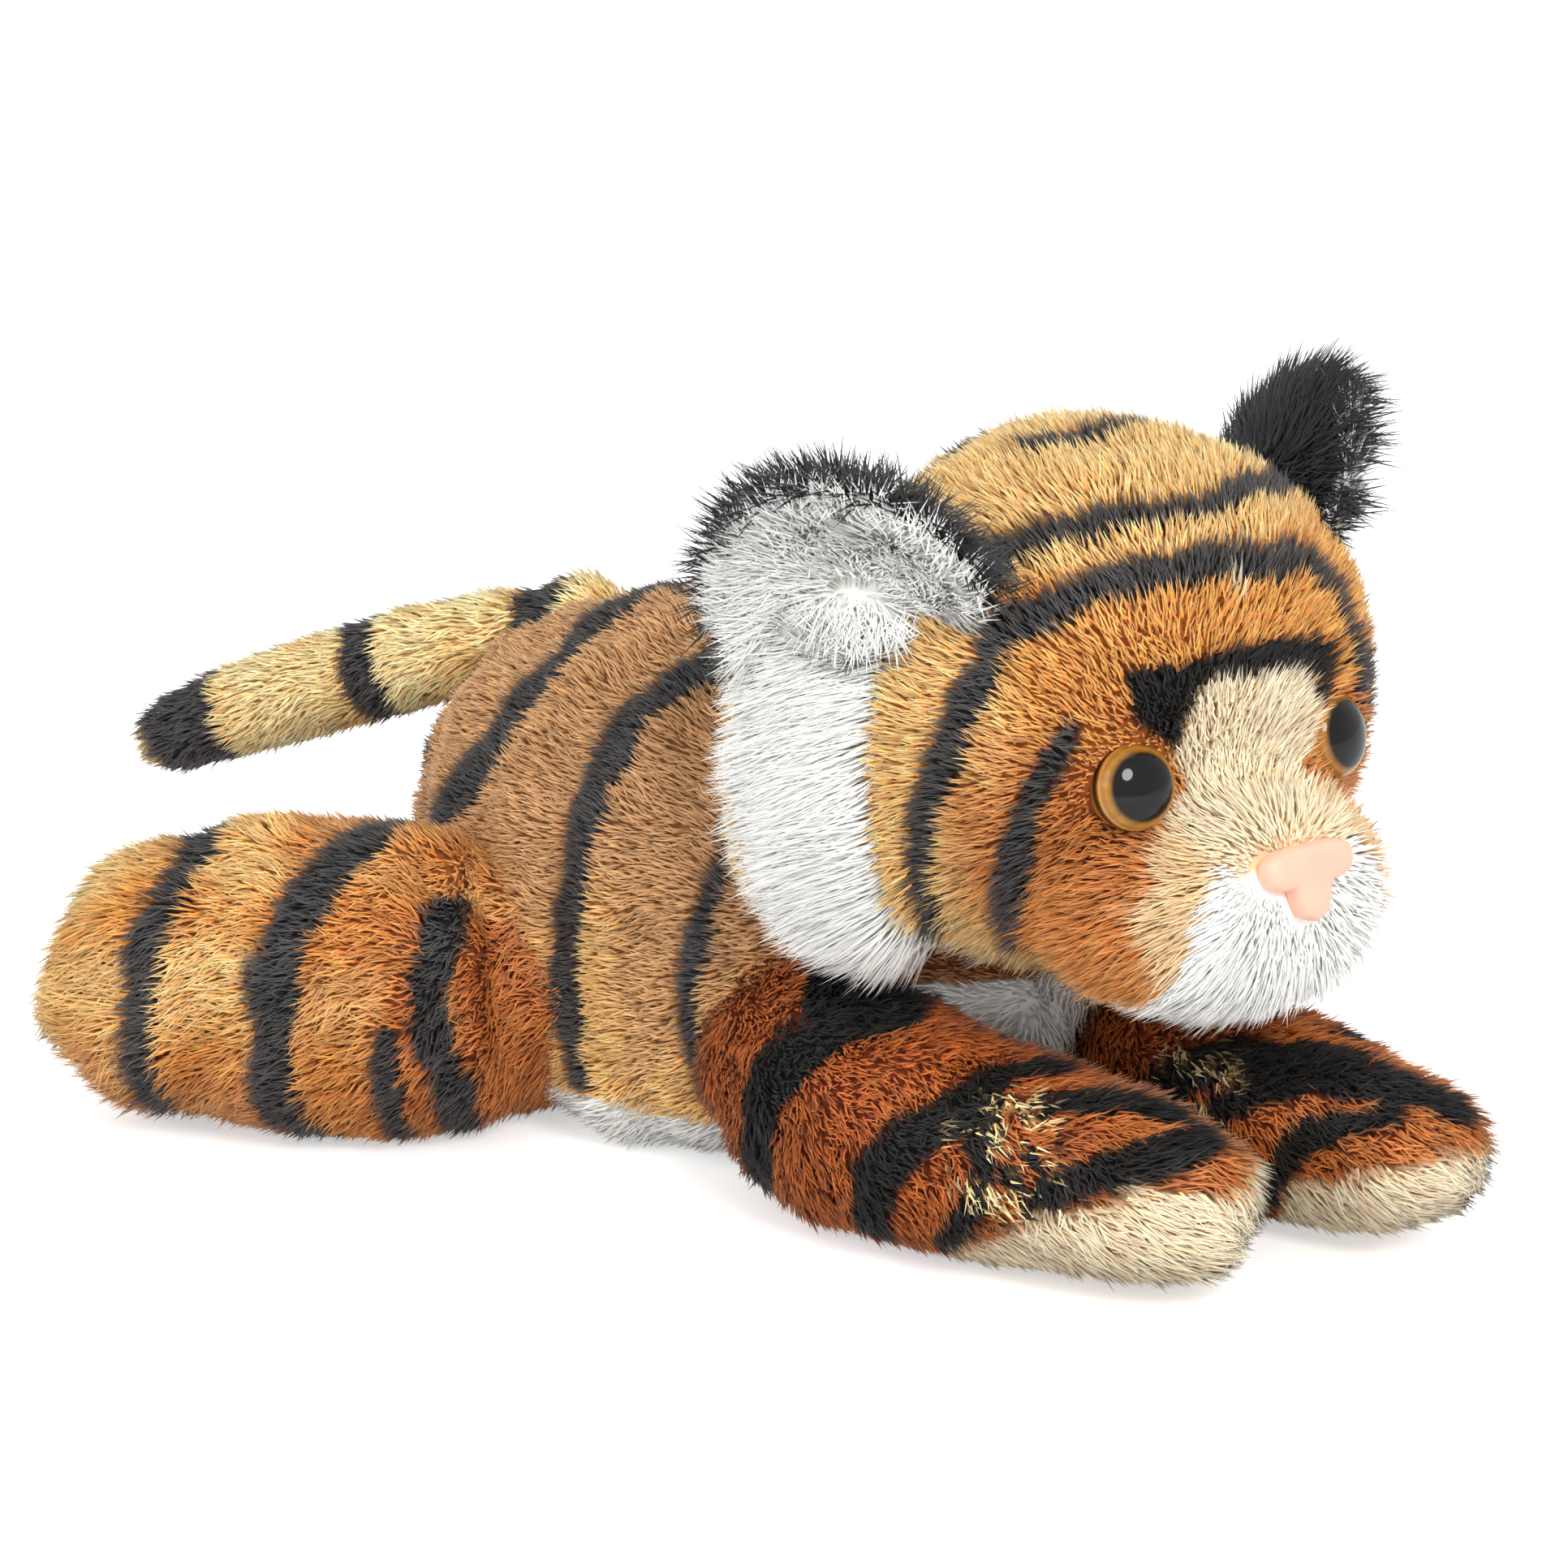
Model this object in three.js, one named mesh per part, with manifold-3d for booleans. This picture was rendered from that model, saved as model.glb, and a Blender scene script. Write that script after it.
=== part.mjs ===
// A plush tiger lying on its belly, about 21 cm from paws to hind feet. Millimetres, +Z up, nose to -Y.
// The origin is on the flat of the belly, where the toy rests. The tiger's left is +X.
import * as THREE from "three";
import { mergeVertices } from "three/addons/utils/BufferGeometryUtils.js";
import Module from "manifold-3d";

const wasm = await Module();
wasm.setup();

// Sewing
const plushThickness = 1.6; // backing cloth and the roots of the pile
const seamGap = 0.3; // between neighbouring panels, and between a cover and its stuffing
const bendGap = 0.5; // between pieces that move past each other
const restFlat = 0.5; // how deep the floor flattens what rests on it

// Torso, from rump to chest
const torsoWidth = 73;
const torsoHeight = 76;
const rumpEnd = 53;
const chestEnd = -62;
const chestHeight = 50;
const torsoMiddle = torsoHeight / 2 - restFlat;
const rumpDrop = 11; // how far the middle line falls from the back to the rump, and to the shoulders
const shoulderDrop = 5;
const chestRise = 3;
const bellySag = 0.45; // below 1, pellets spread the underside towards a square section
const bellyPanelTop = 9;
const chestPanelTop = 34;
const chestPanelBack = -40;
const pelletBag = { length: 66, width: 40, height: 13 };

// Head, in its own frame at the neck seam: x to the tiger's left, y backwards, z up
const neckSeam = [0, -45, 55];
const headTurnAtRest = -10;
const neckPlugRadius = 10;
const headWidth = 79;
const headHeight = 73;
const headBack = 8;
const headFront = -52;
const headMiddle = 21.5;
const muzzle = { width: 47, height: 31, back: -30, front: -65, middle: -1 };
const ruff = { width: 26, height: 58, back: 11, front: -28, middle: 15, side: 30.5 };
const ruffPanelFront = -23;
const bridgeWidth = 15;
const bridgeTop = 31;
const lipLine = 3;

// Ears
const ear = { width: 38, height: 21, cup: 4.5, side: 35.5, back: -15, foot: 39 };
const earOutward = 62; // which way an ear's front looks, in degrees from the nose
const earLean = 24;
const earFold = [-15, 15];

// Safety eyes: a clear dome, a black pupil, a gold back plate with a ribbed shank, and a lock washer
const eye = { diameter: 12, dome: 3.6, rim: 0.9, pupil: 8.8, pupilBulge: 0.1, plate: 0.8 };
const eyePlace = { side: 19, forward: 50, up: 18 };
const eyeSag = 0.6; // how far the plate sinks into the cloth
const seatReach = 6; // how far out of the cloth the seat of an eye is cut, past the pile
const eyeOutward = 18;
const eyeUpward = 4;
const shankDiameter = 3.2;
const shankLength = 11;
const shankRibs = 4;
const ribHeight = 0.3;
const washer = { diameter: 10, thickness: 1.2, teeth: 6, toothDepth: 1 };

// Nose, one moulding with its shank
const nose = { width: 16, height: 10.6, lobe: 6.4, bar: 5.4, depth: 1.4, bevel: 1.3, forward: 65, up: 4 };
const noseUpward = 12;

// Front legs, hind legs and tail: the points of a limb's middle line from the body outwards, and its
// width and height at each. The hind legs' line is the right one's.
const frontLegPaths = {
  right: [[-20, -22, 20], [-30, -45, 18], [-29, -70, 15.5], [-23.5, -108, 14]],
  left: [[20, -22, 20], [20, -50, 17.5], [10, -84, 15], [12, -121, 14]],
};
const frontLegWidths = [34, 31, 28, 29];
const frontLegHeights = [38, 35, 29, 28];
const frontSole = { back: -72, top: 7 };
const hindLegPath = [[-18, 14, 23], [-42, 29, 23], [-55, 49, 22.5], [-72, 71, 20]];
const hindLegWidths = [38, 40, 38, 37];
const hindLegHeights = [44, 46, 45, 41];
const hindSole = { front: 64, top: 12 };
const tailPath = [[0, 24, 68], [-4, 46, 64], [-10, 68, 56], [-15, 89, 47.5], [-21, 105, 40]];
const tailDiameter = 13;

// Where each limb bends on its seam, at the height of its middle line, and how far in degrees
const shoulder = { side: 24, along: -32 };
const hip = { side: 24, along: 24 };
const tailRootAlong = 34;
const frontLegSwing = [0, 35];
const hindLegSwing = [-10, 30];
const tailSwing = [-12, 40];
const headTurn = [-18, 18];
const headNod = [-3, 15];

// Pile and plastic colours
const colours = {
  orange: 0xb5783c,
  white: 0xf1f0ea,
  tan: 0xe0c49a,
  black: 0x232226,
  stuffing: 0xf4f4f2,
  pellets: 0xd9d6cc,
  gold: 0xa9712c,
  clear: 0xd8b070,
  pink: 0xf6c3ad,
  nylon: 0xe9e9e6,
};

function material(colour, roughness = 0.95) {
  return new THREE.MeshStandardMaterial({ color: colours[colour], roughness, metalness: 0 });
}

// A closed three.js geometry as a solid that can be cut and joined.
function solidOf(geometry) {
  const bare = geometry.clone();
  bare.deleteAttribute("normal");
  bare.deleteAttribute("uv");
  const merged = mergeVertices(bare, 1e-4);
  return new wasm.Manifold(
    new wasm.Mesh({
      numProp: 3,
      vertProperties: merged.attributes.position.array,
      triVerts: new Uint32Array(merged.index.array),
    }),
  );
}

function geometryOf(solid) {
  const mesh = solid.getMesh();
  const position = new Float32Array(mesh.numVert * 3);
  for (let i = 0; i < mesh.numVert; i++)
    position.set(mesh.vertProperties.subarray(i * mesh.numProp, i * mesh.numProp + 3), i * 3);
  const geometry = new THREE.BufferGeometry();
  geometry.setAttribute("position", new THREE.BufferAttribute(position, 3));
  geometry.setIndex(new THREE.BufferAttribute(new Uint32Array(mesh.triVerts), 1));
  geometry.computeVertexNormals();
  return geometry;
}

// Joins a stack of rings of equal count into one closed surface, with a tip point at each end.
function loft(tipA, rings, tipB) {
  const count = rings[0].length;
  const points = [tipA, ...rings.flat(), tipB];
  const last = points.length - 1;
  const faces = [];
  for (let k = 0; k < count; k++) {
    const next = (k + 1) % count;
    faces.push(0, 1 + k, 1 + next);
    for (let r = 0; r < rings.length - 1; r++) {
      const a = 1 + r * count;
      const b = a + count;
      faces.push(a + k, b + next, a + next, a + k, b + k, b + next);
    }
    const end = 1 + (rings.length - 1) * count;
    faces.push(last, end + next, end + k);
  }
  const geometry = new THREE.BufferGeometry().setFromPoints(points);
  geometry.setIndex(faces);
  return geometry;
}

// A stuffed form: oval sections square to a smooth middle line, swelling and tapering, with domed ends.
// roundness 1 gives egg-shaped ends and smaller values give blunter ones. sag squares the underside.
function stuffed({ path, wide, tall, roundness, sag = 1, around, along }, inset = 0) {
  const line = new THREE.CatmullRomCurve3(path.map((p) => new THREE.Vector3(...p)));
  const sizes = new THREE.SplineCurve(wide.map((w, i) => new THREE.Vector2(w, tall[i])));
  const trim = inset / line.getLength();
  const share = (s) => trim + (1 - 2 * trim) * s;
  const ahead = (s) => line.getTangent(THREE.MathUtils.clamp(share(s), 0, 1));
  const at = (s) => {
    const held = THREE.MathUtils.clamp(share(s), 0, 1);
    return line.getPoint(held).addScaledVector(ahead(s), (share(s) - held) * line.getLength());
  };
  const rings = [];
  for (let j = 1; j < along; j++) {
    const angle = (Math.PI * j) / along;
    const s = (1 - Math.cos(angle)) / 2;
    const swell = Math.sin(angle) ** roundness;
    const size = sizes.getPoint(s);
    const centre = at(s);
    const side = new THREE.Vector3().crossVectors(ahead(s), new THREE.Vector3(0, 0, 1)).normalize();
    const up = new THREE.Vector3().crossVectors(side, ahead(s));
    const ring = [];
    for (let k = 0; k < around; k++) {
      const turn = (2 * Math.PI * k) / around;
      const power = Math.sin(turn) < -1e-6 ? sag : 1;
      const across = Math.sign(Math.cos(turn)) * Math.abs(Math.cos(turn)) ** power;
      const above = Math.sign(Math.sin(turn)) * Math.abs(Math.sin(turn)) ** power;
      ring.push(
        centre
          .clone()
          .addScaledVector(side, (size.x / 2 - inset) * swell * across)
          .addScaledVector(up, (size.y / 2 - inset) * swell * above),
      );
    }
    rings.push(ring);
  }
  return loft(at(0), rings, at(1));
}

// The same form with fewer facets, for the lining of a cover and for its stuffing.
function lining(form, inset) {
  return stuffed({ ...form, around: form.around / 2, along: Math.ceil(form.along * 0.6) }, inset);
}

function box(low, high) {
  const size = high.map((v, i) => v - low[i]);
  const middle = high.map((v, i) => (v + low[i]) / 2);
  return new THREE.BoxGeometry(...size).translate(...middle);
}

const degrees = THREE.MathUtils.degToRad;

// Turns a geometry about an axis through a point.
function turned(geometry, at, axis, angle) {
  const pivot = new THREE.Vector3(...at);
  const matrix = new THREE.Matrix4().makeTranslation(pivot);
  const about = new THREE.Vector3(...axis).normalize();
  matrix.multiply(new THREE.Matrix4().makeRotationAxis(about, degrees(angle)));
  matrix.multiply(new THREE.Matrix4().makeTranslation(pivot.negate()));
  return geometry.clone().applyMatrix4(matrix);
}

// The room that a neighbour takes up, as seen from a piece that bends on a seam through the given angles.
function sweptRoom(geometry, seam, angles) {
  return angles
    .map((angle) => solidOf(turned(geometry, seam.at, seam.axis, -angle)))
    .reduce((room, next) => room.add(next));
}

function steps([low, high], count) {
  return Array.from({ length: count }, (_, i) => low + ((high - low) * i) / (count - 1));
}

// Bodies as nested groups: the head hangs on the neck, the ears on the head, and the rest on the torso.
const tiger = new THREE.Group();
const neckGroup = new THREE.Group();
neckGroup.position.set(...neckSeam);
neckGroup.rotation.z = degrees(headTurnAtRest);
tiger.add(neckGroup);
const headGroup = new THREE.Group();
neckGroup.add(headGroup);
tiger.updateMatrixWorld(true);
const headPlace = headGroup.matrixWorld.clone();

// Hangs a solid modelled in the toy's frame in its group, as a named mesh.
function hang(group, name, solid, skin) {
  group.updateWorldMatrix(true, false);
  const geometry = geometryOf(solid).applyMatrix4(group.matrixWorld.clone().invert());
  geometry.computeVertexNormals();
  const mesh = new THREE.Mesh(geometry, skin);
  mesh.name = name;
  group.add(mesh);
}

// A box wider than the toy, between two heights and from one place along the toy to another.
const beyond = 4 * torsoWidth;
function slab(bottom, top, front = -beyond, back = beyond) {
  return solidOf(box([-beyond, front, bottom], [beyond, back, top]));
}
const floorRoom = slab(-beyond, 0);
function neckBall(radius, sides, rows) {
  return solidOf(new THREE.SphereGeometry(radius, sides, rows).translate(...neckSeam));
}
const neckSocket = neckBall(neckPlugRadius + seamGap, 20, 12);

// Torso: a back panel and a belly panel sewn round stuffing, with a bag of pellets over the belly.
const torsoForm = {
  path: [
    [0, rumpEnd, torsoMiddle - rumpDrop],
    [0, rumpEnd / 2, torsoMiddle],
    [0, -2, torsoMiddle],
    [0, chestEnd / 2, torsoMiddle - shoulderDrop],
    [0, chestEnd, chestHeight / 2 + chestRise],
  ],
  wide: [torsoWidth * 0.88, torsoWidth, torsoWidth, torsoWidth * 0.93, torsoWidth * 0.8],
  tall: [torsoHeight * 0.72, torsoHeight, torsoHeight, torsoHeight * 0.86, chestHeight],
  roundness: 0.75,
  sag: bellySag,
  around: 20,
  along: 10,
};
const torsoOuter = solidOf(stuffed(torsoForm)).subtract(floorRoom);
const torsoInner = solidOf(lining(torsoForm, plushThickness));
const torsoStuffed = solidOf(lining(torsoForm, plushThickness + seamGap));
const torsoSkin = torsoOuter.subtract(torsoInner).subtract(neckSocket);
const torsoRoom = stuffed(torsoForm, -seamGap);

// The belly panel rises at the front into the chest.
function bellyRegion(grow) {
  const chest = slab(-beyond, chestPanelTop + grow, -beyond, chestPanelBack + grow);
  return slab(-beyond, bellyPanelTop + grow).add(chest);
}

const bagForm = {
  path: [-0.5, 0, 0.5].map((share) => [0, share * pelletBag.length, pelletBag.height / 2]),
  wide: Array(3).fill(pelletBag.width),
  tall: Array(3).fill(pelletBag.height),
  roundness: 0.6,
  around: 14,
  along: 8,
};
const bagRoom = solidOf(stuffed(bagForm, -seamGap));
hang(tiger, "torso_back_cover", torsoSkin.subtract(bellyRegion(seamGap)), material("orange"));
hang(tiger, "belly_panel", torsoSkin.intersect(bellyRegion(0)), material("white"));
hang(tiger, "belly_pellet_bag", torsoStuffed.intersect(solidOf(stuffed(bagForm))), material("pellets"));
hang(tiger, "torso_fibrefill", torsoStuffed.subtract(neckSocket).subtract(bagRoom), material("stuffing"));

hang(neckGroup, "neck_fibrefill", neckBall(neckPlugRadius, 16, 10), material("stuffing"));

// Head: a ball with a muzzle in front and a ruff of longer plush swelling over each cheek.
const headForms = [
  {
    path: [
      [0, headBack, headMiddle - 2],
      [0, (headBack + headFront) / 2, headMiddle],
      [0, headFront, headMiddle - 3],
    ],
    wide: [headWidth * 0.94, headWidth, headWidth * 0.96],
    tall: [headHeight * 0.94, headHeight, headHeight * 0.92],
    roundness: 0.6,
    around: 20,
    along: 10,
  },
  {
    path: [
      [0, muzzle.back, muzzle.middle],
      [0, (muzzle.back + muzzle.front) / 2, muzzle.middle],
      [0, muzzle.front, muzzle.middle],
    ],
    wide: [muzzle.width, muzzle.width, muzzle.width * 0.9],
    tall: [muzzle.height, muzzle.height, muzzle.height * 0.9],
    roundness: 0.58,
    around: 14,
    along: 8,
  },
  ...[-1, 1].map((side) => ({
    path: [
      [side * ruff.side, ruff.back, ruff.middle],
      [side * (ruff.side + 1), (ruff.back + ruff.front) / 2, ruff.middle],
      [side * ruff.side, ruff.front, ruff.middle],
    ],
    wide: Array(3).fill(ruff.width),
    tall: Array(3).fill(ruff.height),
    roundness: 0.8,
    around: 12,
    along: 8,
  })),
];

// The head's forms, in the toy's frame, as geometries.
function headGeometries(inset, make = stuffed) {
  return headForms.map((form) => make(form, inset).applyMatrix4(headPlace));
}
function headSolid(inset, make) {
  return headGeometries(inset, make)
    .map(solidOf)
    .reduce((whole, next) => whole.add(next));
}
function headBox(low, high) {
  return solidOf(box(low, high).applyMatrix4(headPlace));
}

// What the torso takes up, as the head sees it at every turn and nod.
const nodAxis = new THREE.Vector3(-1, 0, 0).transformDirection(headPlace).toArray();
const neckRoom = headTurn
  .flatMap((turn) => headNod.map((nod) => [turn, nod]))
  .map(([turn, nod]) => turned(turned(torsoRoom, neckSeam, [0, 0, 1], -turn), neckSeam, nodAxis, -nod))
  .map(solidOf)
  .reduce((room, next) => room.add(next))
  .add(neckSocket);

// A frame on the head's surface, where an axis through a point of the face comes out, facing along it.
const faceMeshes = headGeometries(0).map((geometry) => new THREE.Mesh(geometry));
function faceFrame([x, y, z], outward, upward) {
  const facing = new THREE.Vector3(
    Math.sin(degrees(outward)) * Math.cos(degrees(upward)),
    -Math.cos(degrees(outward)) * Math.cos(degrees(upward)),
    Math.sin(degrees(upward)),
  ).transformDirection(headPlace);
  const start = new THREE.Vector3(x, y, z).applyMatrix4(headPlace).addScaledVector(facing, headWidth);
  const ray = new THREE.Raycaster(start, facing.clone().negate());
  const hit = ray.intersectObjects(faceMeshes)[0].point;
  const frame = new THREE.Matrix4().lookAt(facing, new THREE.Vector3(), new THREE.Vector3(0, 0, 1));
  return frame.setPosition(hit);
}

// A turned profile, given as [radius, height] pairs, standing along the frame's facing axis.
function turnedProfile(points, frame, sides = 20) {
  const profile = points.map(([r, h]) => new THREE.Vector2(r, h));
  return solidOf(new THREE.LatheGeometry(profile, sides).rotateX(Math.PI / 2).applyMatrix4(frame));
}

function drum(radius, low, high, frame, sides = 20) {
  return turnedProfile([[0, low], [radius, low], [radius, high], [0, high]], frame, sides);
}

// A ribbed shank that runs in from the face, for a lock washer to bite.
const ribPitch = (shankLength - 4) / shankRibs;
function shankProfile(top) {
  const r = shankDiameter / 2;
  const ribs = Array.from({ length: shankRibs }, (_, i) => -shankLength + 1 + i * ribPitch).flatMap((h) => [
    [r, h],
    [r + ribHeight, h + 0.6 * ribPitch],
    [r, h + 0.7 * ribPitch],
  ]);
  return [[0, -shankLength], [r * 0.7, -shankLength], ...ribs, [r, top], [0, top]];
}
const shankRoomRadius = shankDiameter / 2 + ribHeight + seamGap / 2;
const washerTop = -plushThickness - 1.6;

function lockWasher(frame) {
  const outline = new THREE.Shape().absarc(0, 0, washer.diameter / 2, 0, 2 * Math.PI);
  const points = Array.from({ length: 4 * washer.teeth }, (_, i) => {
    const radius = shankRoomRadius + (i % 4 < 2 ? 0 : washer.toothDepth);
    const angle = (i * Math.PI) / (2 * washer.teeth);
    return new THREE.Vector2(radius * Math.cos(angle), radius * Math.sin(angle));
  });
  outline.holes.push(new THREE.Path(points.reverse()));
  const settings = { depth: washer.thickness, bevelEnabled: false, curveSegments: 10 };
  const ring = new THREE.ExtrudeGeometry(outline, settings);
  return solidOf(ring.translate(0, 0, washerTop - washer.thickness).applyMatrix4(frame));
}

// The room that a shank and its washer need in the cover and the stuffing.
function washerRoom(frame) {
  const low = washerTop - washer.thickness - seamGap;
  const shank = drum(shankRoomRadius, -shankLength - seamGap, 3, frame, 12);
  return drum(washer.diameter / 2 + seamGap, low, washerTop + seamGap, frame, 16).add(shank);
}

const eyeFrames = {
  right: faceFrame([-eyePlace.side, -eyePlace.forward, eyePlace.up], -eyeOutward, eyeUpward),
  left: faceFrame([eyePlace.side, -eyePlace.forward, eyePlace.up], eyeOutward, eyeUpward),
};
const noseFrame = faceFrame([0, -nose.forward, nose.up], 0, noseUpward);
const plateTop = eye.plate - eyeSag;

function eyePieces(side, frame) {
  const r = eye.diameter / 2;
  const base = plateTop + seamGap / 2;
  const arch = new THREE.EllipseCurve(0, base + eye.rim, r, eye.dome, 0, Math.PI / 2);
  const crown = arch.getPoints(5).map((p) => [p.x, p.y]);
  crown[crown.length - 1][0] = 0;
  const pupilEdge = eye.pupil / 2;
  const recess = pupilEdge + seamGap / 2;
  const lens = [[0, base + eye.rim], [recess, base + eye.rim], [recess, base], [r, base], ...crown];
  const pupilTop = base + eye.rim - seamGap;
  const pupil = [[0, base], [pupilEdge, base], [pupilEdge, pupilTop], [0, pupilTop + eye.pupilBulge]];
  const plate = drum(r, -eyeSag, plateTop, frame).add(turnedProfile(shankProfile(0), frame, 10));
  hang(headGroup, "eye_lens_" + side, turnedProfile(lens, frame), material("clear", 0.05));
  hang(headGroup, "eye_pupil_" + side, turnedProfile(pupil, frame), material("black", 0.2));
  hang(headGroup, "eye_plate_" + side, plate, material("gold", 0.3));
  hang(headGroup, "eye_washer_" + side, lockWasher(frame), material("nylon", 0.6));
}
for (const [side, frame] of Object.entries(eyeFrames)) eyePieces(side, frame);

// Nose: a rounded bar over a short lobe.
function noseSolid(grow = 0) {
  const w = nose.width / 2 - nose.bevel + grow;
  const top = nose.height / 2 - nose.bevel + grow;
  const step = top - nose.bar + nose.bevel * 2 - grow;
  const lobe = nose.lobe / 2 - nose.bevel + grow;
  const outline = new THREE.Shape();
  outline.moveTo(0, top);
  outline.bezierCurveTo(w * 0.9, top + 0.2, w, top - 0.3, w, (top + step) / 2);
  outline.bezierCurveTo(w, step - 0.6, w * 0.75, step, lobe + 0.4, step - 0.4);
  outline.bezierCurveTo(lobe, step - 1.5, lobe + 0.3, -top, 0, -top);
  outline.bezierCurveTo(-lobe - 0.3, -top, -lobe, step - 1.5, -lobe - 0.4, step - 0.4);
  outline.bezierCurveTo(-w * 0.75, step, -w, step - 0.6, -w, (top + step) / 2);
  outline.bezierCurveTo(-w, top - 0.3, -w * 0.9, top + 0.2, 0, top);
  return new THREE.ExtrudeGeometry(outline, {
    depth: nose.depth,
    bevelThickness: nose.bevel,
    bevelSize: nose.bevel,
    bevelSegments: 2,
    curveSegments: 4,
  });
}
const noseSeat = nose.bevel - 0.9;
const noseCap = solidOf(noseSolid().translate(0, 0, noseSeat).applyMatrix4(noseFrame));
const noseShank = turnedProfile(shankProfile(noseSeat), noseFrame, 10);
hang(headGroup, "nose", noseCap.add(noseShank), material("pink", 0.45));
hang(headGroup, "nose_washer", lockWasher(noseFrame), material("nylon", 0.6));

// The head's panels: what each one covers, taken in turn from the skin.
const faceHalf = headWidth;
const panelRegions = {
  muzzle_chin_panel: [
    [[-muzzle.width * 0.38, -faceHalf * 2, -40], [muzzle.width * 0.38, -47, nose.up + 2]],
  ],
  muzzle_bridge_panel: [
    [[-bridgeWidth / 2, -faceHalf * 2, 0], [bridgeWidth / 2, -38, bridgeTop]],
    [[-muzzle.width * 0.6, -faceHalf * 2, -40], [muzzle.width * 0.6, -40, nose.up + 5]],
  ],
  cheek_ruff_right: [[[-faceHalf, ruffPanelFront, -40], [-14, -1, 42]]],
  cheek_ruff_left: [[[14, ruffPanelFront, -40], [faceHalf, -1, 42]]],
};
const seats = Object.values(eyeFrames)
  .map((frame) => drum(eye.diameter / 2 + seamGap, -eyeSag - seamGap / 2, seatReach, frame))
  .reduce((all, next) => all.add(next))
  .add(solidOf(noseSolid(seamGap).translate(0, 0, noseSeat - seamGap).applyMatrix4(noseFrame)));
const frames = [...Object.values(eyeFrames), noseFrame];
const washerRooms = frames.map(washerRoom).reduce((all, next) => all.add(next));
const headOuter = headSolid(0).subtract(neckRoom);
let headSkin = headOuter.subtract(headSolid(plushThickness, lining)).subtract(washerRooms).subtract(seats);
for (const [name, boxes] of Object.entries(panelRegions)) {
  const grown = boxes.map(([low, high]) => [low.map((v) => v - seamGap), high.map((v) => v + seamGap)]);
  const region = boxes.map(([low, high]) => headBox(low, high)).reduce((all, next) => all.add(next));
  const room = grown.map(([low, high]) => headBox(low, high)).reduce((all, next) => all.add(next));
  const colour = name === "muzzle_bridge_panel" ? "tan" : "white";
  hang(headGroup, name, headSkin.intersect(region), material(colour));
  headSkin = headSkin.subtract(room);
}
hang(headGroup, "head_cover", headSkin, material("orange"));
const headStuffed = headSolid(plushThickness + seamGap, lining).subtract(neckRoom).subtract(washerRooms);
hang(headGroup, "head_fibrefill", headStuffed, material("stuffing"));

// Ears: two cupped ovals of plush, sewn back to back, whose foot follows the head.
function earPlate(offset) {
  const rows = 3;
  const sides = 16;
  const half = plushThickness / 2;
  const point = (share, turn, height) =>
    new THREE.Vector3(
      (ear.width / 2) * share * Math.cos(turn),
      ear.height * share * Math.sin(turn),
      offset + ear.cup * share * share + height,
    );
  const ring = (share, height) =>
    Array.from({ length: sides }, (_, k) => point(share, (-2 * Math.PI * k) / sides, height));
  const shares = Array.from({ length: rows }, (_, i) => (i + 1) / rows);
  const below = shares.map((share) => ring(share, -half));
  const above = shares.map((share) => ring(share, half)).reverse();
  return loft(point(0, 0, -half), [...below, ...above], point(0, 0, half));
}
const headRoomForEars = headGeometries(-bendGap);
for (const [side, sign] of [["right", -1], ["left", 1]]) {
  const facing = new THREE.Vector3(0, -1, 0);
  facing.applyAxisAngle(new THREE.Vector3(0, 0, 1), sign * degrees(earOutward));
  const place = new THREE.Matrix4().lookAt(facing, new THREE.Vector3(), new THREE.Vector3(0, 0, 1));
  place.multiply(new THREE.Matrix4().makeRotationX(degrees(earLean)));
  place.setPosition(sign * ear.side, ear.back, ear.foot).premultiply(headPlace);
  const seam = {
    at: new THREE.Vector3().setFromMatrixPosition(place).toArray(),
    axis: new THREE.Vector3(1, 0, 0).transformDirection(place).toArray(),
  };
  const room = headRoomForEars
    .map((geometry) => sweptRoom(geometry, seam, steps(earFold, 3)))
    .reduce((all, next) => all.add(next));
  const group = new THREE.Group();
  headGroup.add(group);
  for (const [face, offset, colour] of [["back", -1, "black"], ["front", 1, "white"]]) {
    const plate = earPlate(offset * (plushThickness + seamGap) * 0.5).applyMatrix4(place);
    hang(group, "ear_" + face + "_" + side, solidOf(plate).subtract(room), material(colour));
  }
}

// A limb: a plush cover open at the seam, stuffed, and cut to clear the torso as it bends.
function limb({ name, form, seam, range, colour, sole }) {
  const room = sweptRoom(torsoRoom, seam, steps(range, 3));
  const group = new THREE.Group();
  group.position.set(...seam.at);
  tiger.add(group);
  group.updateMatrixWorld(true);
  const outer = solidOf(stuffed(form)).subtract(room).subtract(floorRoom);
  const inner = solidOf(lining(form, plushThickness));
  const filling = solidOf(lining(form, plushThickness + seamGap)).subtract(room);
  const skin = outer.subtract(inner);
  if (sole) {
    hang(group, sole.name, skin.intersect(sole.region(0)), material("tan"));
    hang(group, name + "_cover", skin.subtract(sole.region(seamGap)), material(colour));
  } else {
    hang(group, name + "_cover", skin, material(colour));
  }
  hang(group, name + "_fibrefill", filling, material("stuffing"));
}

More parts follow.
